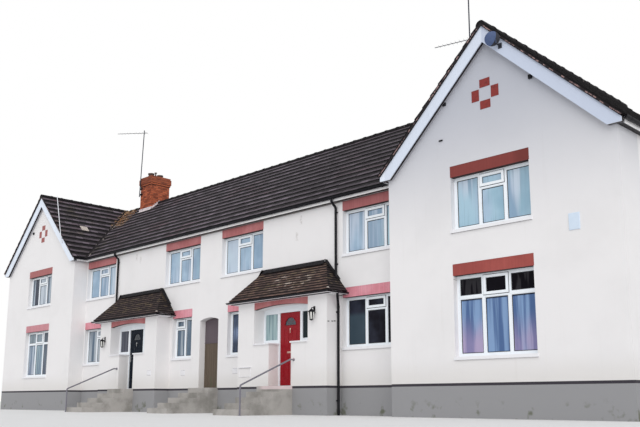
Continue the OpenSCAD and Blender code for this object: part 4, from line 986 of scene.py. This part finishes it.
def porch_flashing(x, name, wide=0.16, low_off=0.05, rim_off=0.055, reach=0.35):
    """A black strip along the top and the upper part of both wall edges, and mortar at each hip's foot."""
    half, top_half, front = PORCH_ROOF_HALF, PORCH_TOP_HALF, PORCH_ROOF_FRONT
    strip, dabs = Shape(), Shape()
    climb = Vector((0, -front, PORCH_TOP_Z - PORCH_EDGE_Z)).normalized()
    out = Vector((0, -climb.z, climb.y))
    ends = [Vector((x + way * top_half, 0, PORCH_TOP_Z)) for way in (-1, 1)]
    low = [p - climb * wide + out * low_off for p in ends]
    rim = [p + out * rim_off for p in ends]
    strip.add(low + rim[::-1] + [p - out * 0.012 for p in low], [(0, 1, 2, 3), (4, 5, 1, 0)])
    near, lift = Vector((0, -0.12, 0)), UP * 0.026
    for way, head in zip((-1, 1), ends):
        foot = Vector((x + way * half, 0, PORCH_EDGE_Z)).lerp(head, reach)
        down = (foot - head).normalized()
        rise = Vector((-down.z, 0, down.x))
        rise *= math.copysign(1, rise.z)
        strip.add([head + near + rise * 0.045, foot + near + rise * 0.045, foot + rise * 0.05, head + rise * 0.05])
        spot = Vector((x + way * (half - 0.012), front + 0.012, PORCH_EDGE_Z + 0.022))
        across = Vector((way * front, top_half - half, 0)).normalized() * 0.038
        spot += Vector((way * (half - top_half), front, 0)).normalized() * 0.006
        dabs.add([spot - across, spot + across, spot + across * 0.6 + lift, spot - across * 0.6 + lift])
    strip.piece("porch_flashing_" + name, "felt")
    dabs.piece("hip_mortar_" + name, "mortar")


def porch_details():
    """Panes in the lanterns, beads round the side lights and caps on the dwarf walls."""
    panes, bars, caps = Shape(), Shape(), Shape()
    for x, z in LANTERNS:
        for k in range(6):
            turns = [math.pi * ((k - 0.1) / 3 + part / 22) for part in range(5)]
            rings = [(x + math.cos(a) * radius, PORCH_FRONT - 0.11 + math.sin(a) * radius, z + height)
                     for height, radius in ((-0.155, 0.0545), (0.025, 0.0835)) for a in turns]
            panes.add(rings, [(i, i + 1, i + 6, i + 5) for i in range(4)])
    panes.piece("lantern_panes", "lantern_glass")
    half = (SIDE_LIGHT[1] - SIDE_LIGHT[0]) / 2
    for side in (-1, 1):
        for way in (-1, 1):
            x = side * PORCH_X + way * sum(SIDE_LIGHT) / 2
            bars.ring((x - half, DOOR_SILL + 1.27), (x + half, DOOR_SILL + 2.025), 0.02, SCREEN_Y - 0.006,
                      SCREEN_Y + 0.03, grow=0.004)
        for left in (-1.09, 0.425):
            caps.block((side * PORCH_X + left, PORCH_FRONT - 0.035, DOOR_SILL + 1.141), (0.665, 0, 0),
                       (0, SCREEN_Y - PORCH_FRONT + 0.03, 0), (0, 0, 0.04), 0.006)
    bars.piece("side_light_beads", "white_frame")
    caps.piece("dwarf_wall_caps", "white_sill")


class ROW_OT_porches(bpy.types.Operator):
    """Tile the porch roofs, fold felt over their tops, and finish screens, rails and lamps"""
    bl_idname = "row.porches"
    bl_label = "Porches"

    def execute(self, context):
        sizes = context.scene.tile_sizes
        dice = random.Random(sizes.seed + 1)
        paint(felt="porch_roofs", white_frame="porch_screens", rail_paint="handrails", black_pipe="lanterns")
        kind = (sizes.plain_gauge, sizes.plain_cover, 0.014)
        half, front, edge = PORCH_ROOF_HALF, PORCH_ROOF_FRONT, PORCH_EDGE_Z
        lean, rise = half - PORCH_TOP_HALF, PORCH_TOP_Z - edge
        for side, name in SIDES:
            x = side * PORCH_X
            tiles, ends, cuts, end_cuts = Shape(), Shape(), [], []
            up = Vector((0, -front, rise))
            lay_tiles(tiles, (x - half, front, edge), (1, 0, 0), up, 2 * half, up.length - 0.05, kind, dice, 0.015)
            for way in (-1, 1):
                foot = Vector((x + way * half, front, 0))
                normal = Vector((-way * front, lean, 0)).normalized()
                cuts.append((foot, normal, everywhere))
                end_cuts.append((foot, -normal, lambda spot, x=x, way=way: (spot.x - x) * way > 0))
                up = Vector((-way * lean, 0, rise))
                lay_tiles(ends, (x + way * half, front, edge), (0, 1, 0), up, -front, up.length, kind, dice, 0.015)
            tiles.piece("porch_tiles_" + name, "porch_tile_" + name, cuts=cuts)
            ends.piece("porch_end_tiles_" + name, "porch_tile_end_shaded", cuts=end_cuts)
            porch_flashing(x, name)
        porch_details()
        return {"FINISHED"}


def lights(sashes, gaskets_and_shade, window, near, flip):
    """Beads in fixed lights and thick sashes in the top lights of one window."""
    x, width, sill, head, count = window
    light = (width - (count + 1) * FRAME_W) / count
    tall = head - sill > TALL_WINDOW
    top = TOP_LIGHTS[tall]
    glass = near + flip * (FRAME_D / 2 - PANE_HALF)
    # Near and far faces and chamfer of a gasket on the pane
    pane = (glass - flip * 0.004, glass, 0.001)
    low, high = sill + FRAME_W, head - FRAME_W
    for i in range(count):
        left = x - width / 2 + FRAME_W + i * (light + FRAME_W)
        right = left + light
        parts = [(low, high, False)]
        if tall or i == 1:
            parts = [(high - top, high, i == 1), (low, high - top - FRAME_W, False)]
        for foot, crown, opens in parts:
            corners = (left, foot), (right, crown)
            if opens:
                sashes.ring(*corners, 0.062, near - flip * 0.02, near + flip * 0.01, grow=0.014)
                gaskets_and_shade.ring(*corners, 0.014, *pane, grow=-0.042)
                gaskets_and_shade.ring(*corners, 0.014, near - flip * 0.002, near, 0.0005, 0.026)
            else:
                sashes.ring(*corners, 0.016, near + flip * 0.004, glass, grow=0.001)
                # Wide black gaskets: real rubber, widened to also stand for painted shade along the beads
                gaskets_and_shade.ring(*corners, 0.02, *pane, grow=-0.012)


class ROW_OT_windows(bpy.types.Operator):
    """Finish frames and glass, and add sashes, beads and gaskets, widened to stand partly for painted shade"""
    bl_idname = "row.windows"
    bl_label = "Windows"

    def execute(self, context):
        paint(white_frame="window_frames_upper window_frames_lower", upper_glass="window_glass_upper",
              lower_glass="window_glass_lower")
        sashes, gaskets_and_shade = Shape(), Shape()
        for *window, face in FRONT_WINDOWS:
            for flip, wall in ((1, face), (-1, HOUSE_D)):
                lights(sashes, gaskets_and_shade, window, wall + flip * REVEAL, flip)
        sashes.mirrored().piece("window_sashes", "white_frame")
        gaskets_and_shade.mirrored().piece("window_gaskets_and_shade", "gasket")
        return {"FINISHED"}


def courses(shape, x, halves, low, high, dice, joint=0.005, narrowest=0.03):
    """Bricks in half bond over the four sides of a stretch of stack, left out below the roof."""
    count = max(1, round((high - low) / BRICK_COURSE))
    step = (high - low) / count
    for side, (u, v) in enumerate(((1, 0), (0, 1), (-1, 0), (0, -1))):
        half, deep = halves[side % 2], halves[1 - side % 2]
        along, out = Vector((u, v, 0)), Vector((v, -u, 0))
        corner = Vector((x, MIDDLE_Y, 0)) + out * deep - along * half
        length = 2 * half
        wide = length / BRICKS_A_SIDE
        for row in range(count):
            z = low + row * step
            at = -wide / 2 if row % 2 else 0.0
            while at < length - 0.01:
                a, b = max(at, 0.0), min(at + wide, length)
                at += wide
                if b - a < narrowest:
                    continue
                gap = joint if a else 0.0
                base = corner + along * (a + gap) + UP * (z + joint)
                reach = b - a - gap - (0.0 if b == length else joint)
                off = abs(base.y + along.y * reach / 2 - MIDDLE_Y)
                if z + BRICK_COURSE < MAIN_RIDGE_Z - off * MAIN_PITCH:
                    continue
                shape.block(base, along * reach, (0, 0, step - 2 * joint), out * 0.006, 0.003, dice.random())


def stack_flashing(shape, x, steps=5, apron=0.47, edge_off=0.422):
    """An apron along the front and back feet and stepped pieces up the sides."""
    deep = CHIMNEY_HALF_D
    foot = MAIN_RIDGE_Z - deep * MAIN_PITCH
    for way in (-1, 1):
        y = MIDDLE_Y + way * (deep + 0.012)
        out = Vector((0, way, -MAIN_PITCH)).normalized() * 0.1
        a, b = Vector((x - apron, y, foot)), Vector((x + apron, y, foot))
        shape.add([a + UP * 0.13, b + UP * 0.13, b + UP * 0.035, a + UP * 0.035, b + out + UP * 0.036,
                   a + out + UP * 0.036], [(0, 1, 2, 3), (3, 2, 4, 5)])
        for side in (-1, 1):
            edge = x + side * edge_off
            for k in range(steps):
                (near, z0), (far, z1) = [(MIDDLE_Y + way * off, MAIN_RIDGE_Z - off * MAIN_PITCH)
                                         for off in (deep * (1 - k / steps), deep * (1 - (k + 1) / steps))]
                shape.add([(edge, near, z0 + 0.02), (edge, far, z1 + 0.02), (edge, far, z1 + 0.07),
                           (edge, near, z1 + 0.07)])
                shape.add([(edge, near, z0 + 0.035), (edge, far, z1 + 0.035),
                           (edge + side * 0.07, far, z1 + 0.033), (edge + side * 0.07, near, z0 + 0.033)])


class ROW_OT_chimneys(bpy.types.Operator):
    """Lay the bricks of both stacks, with flashing at the roof and mortar round the pots"""
    bl_idname = "row.chimneys"
    bl_label = "Chimneys"

    def execute(self, context):
        dice = random.Random(context.scene.tile_sizes.seed + 2)
        paint(brick_joint="chimney_left chimney_right", clay_pot="chimney_pots")
        for name, x in CHIMNEYS.items():
            bricks, flash, bed = Shape(), Shape(), Shape()
            for grow, low, high in STACK_STEPS:
                courses(bricks, x, (CHIMNEY_HALF_W + grow, CHIMNEY_HALF_D + grow), CHIMNEY_Z - low,
                        CHIMNEY_Z - high, dice)
            bricks.piece("chimney_bricks_" + name, "brick")
            stack_flashing(flash, x)
            flash.piece("chimney_flashing_" + name, "lead")
            for y in (MIDDLE_Y - CHIMNEY_HALF_D / 2, MIDDLE_Y + CHIMNEY_HALF_D / 2):
                bed.tube([(x, y, CHIMNEY_Z + 0.001), (x, y, CHIMNEY_Z + 0.05)], (0.2, 0.13), 16)
            bed.piece("pot_mortar_" + name, "mortar")
        return {"FINISHED"}


class ROW_OT_doors(bpy.types.Operator):
    """Finish the three doors and add the beads of their half-round lights"""
    bl_idname = "row.doors"
    bl_label = "Doors"

    def execute(self, context):
        paint(red_door="right_door", dark_door="left_door", brown_door="passage_door",
              fan_glass="right_door_light left_door_light", grey_metal="door_hinges")
        for side, name, look in ((1, "right", "red_door"), (-1, "left", "dark_door")):
            bead = Shape()

            def spot(angle, radius, off):
                return (side * PORCH_X + math.cos(angle) * radius, DOOR_Y + off,
                        DOOR_SILL + FAN_Z + math.sin(angle) * radius)
            arc = [spot(math.pi * k / 24, FAN_RADIUS, -0.003) for k in range(25)]
            foot = [(side * PORCH_X + end, DOOR_Y - 0.003, DOOR_SILL + FAN_Z) for end in (-FAN_RADIUS, FAN_RADIUS)]
            for path in (arc, foot):
                bead.tube(path, [0.009] * len(path), 8)
            for k in (1, 2, 3):
                bead.tube([spot(math.pi * k / 4, radius, 0.012) for radius in (0.07, 0.215)], (0.004, 0.004), 6)
            bead.piece(name + "_door_fan_bead", look, body=name + "_front_door", smooth=True)
        return {"FINISHED"}


class ROW_OT_aerials(bpy.types.Operator):
    """Finish the masts, the pole and the dish, and add clips under the boards"""
    bl_idname = "row.aerials"
    bl_label = "Aerials"

    def execute(self, context):
        paint(grey_metal="tv_aerials", dish_grey="satellite_dish")
        clips = Shape()
        for x, z in CLIPS:
            clips.block((x - 0.04, WING_FACE_Y, z), (0.08, 0, 0), (0, 0, 0.09), (0, -0.05, 0), 0.006)
        clips.piece("wall_clips", "black_pipe")
        return {"FINISHED"}


def add_light(scene):
    """A soft sky that shows white to the camera, and a wide sun."""
    world = bpy.data.worlds.new("soft_light")
    world.use_nodes = True
    graph = Graph(world.node_tree)
    camera, glossy, clear = (graph.node("ShaderNodeLightPath", {}, {}, "Is " + kind + " Ray")
                             for kind in ("Camera", "Glossy", "Transmission"))
    seen = graph.maths("MAXIMUM", graph.maths("MAXIMUM", camera, glossy), clear)
    sky, white = (graph.node("ShaderNodeBackground", {}, {"Color": colour, "Strength": strength})
                  for colour, strength in (((0.96, 0.975, 1.0), 0.74), ((1.0, 1.0, 1.0), 1.0)))
    mixed = graph.node("ShaderNodeMixShader", {}, {0: seen, 1: sky, 2: white})
    graph.node("ShaderNodeOutputWorld", {}, {0: mixed})
    scene.world = world
    sun = bpy.data.lights.new("soft_sun", "SUN")
    sun.energy = 1.35
    sun.angle = math.radians(70)
    sun.color = (1.0, 0.98, 0.95)
    linked("soft_sun", sun).rotation_euler = Vector(SUN_WAY).to_track_quat("-Z", "Y").to_euler()


def add_camera(scene):
    """A camera low down beyond the right end, looking along the front."""
    lens = bpy.data.cameras.new("camera")
    lens.lens = LENS_PIXELS / PICTURE_PIXELS * SENSOR
    lens.sensor_width = SENSOR
    lens.shift_y = 0.064
    lens.clip_end = 500
    yaw, pitch, roll = (math.radians(v) for v in CAMERA_TURN)
    ahead = Vector((math.sin(yaw) * math.cos(pitch), math.cos(yaw) * math.cos(pitch), math.sin(pitch)))
    right = Vector((math.cos(yaw), -math.sin(yaw), 0))
    up = right.cross(ahead)
    right, up = (right * math.cos(roll) + up * math.sin(roll), up * math.cos(roll) - right * math.sin(roll))
    turn = Matrix((right, up, -ahead)).transposed()
    scene.camera = linked("camera", lens)
    scene.camera.matrix_world = Matrix.Translation(CAMERA_PLACE) @ turn.to_4x4()


class ROW_OT_stage(bpy.types.Operator):
    """Set the floor, the soft light and the camera"""
    bl_idname = "row.stage"
    bl_label = "Stage"

    def execute(self, context):
        scene = context.scene
        reach = 400.0
        mesh = bpy.data.meshes.new("floor")
        mesh.from_pydata([(x * reach, y * reach, 0) for x, y in ((-1, -1), (1, -1), (1, 1), (-1, 1))], [], QUAD)
        mesh.materials.append(finish("pale_floor"))
        made = linked("floor", mesh)
        add_light(scene)
        add_camera(scene)
        scene.view_settings.view_transform = "Standard"
        return {"FINISHED"}


class ROW_PT_panel(bpy.types.Panel):
    """Lists the steps that dress the row"""
    bl_idname = "ROW_PT_panel"
    bl_label = "Terraced House Row"
    bl_space_type = "VIEW_3D"
    bl_region_type = "UI"
    bl_category = "House Row"

    def draw(self, context):
        for group in (context.scene.tile_sizes, context.scene.row_colours):
            for name in group.__annotations__:
                self.layout.prop(group, name)
        for step in STEPS:
            self.layout.operator(step.bl_idname)


STEPS = (ROW_OT_stage, ROW_OT_walls, ROW_OT_roofs, ROW_OT_eaves, ROW_OT_porches, ROW_OT_windows, ROW_OT_chimneys,
         ROW_OT_doors, ROW_OT_aerials)
CLASSES = (TileSizes, RowColours) + STEPS + (ROW_PT_panel,)


def register():
    for part in CLASSES:
        bpy.utils.register_class(part)
    bpy.types.Scene.tile_sizes = PointerProperty(type=TileSizes)
    bpy.types.Scene.row_colours = PointerProperty(type=RowColours)


def unregister():
    del bpy.types.Scene.row_colours
    del bpy.types.Scene.tile_sizes
    for part in reversed(CLASSES):
        bpy.utils.unregister_class(part)


def main():
    register()
    for step in STEPS:
        group, name = step.bl_idname.split(".")
        getattr(getattr(bpy.ops, group), name)()


def plain(box):
    return [[round(float(value), 4) for value in corner] for corner in box]


if __name__ == "__main__":
    main()
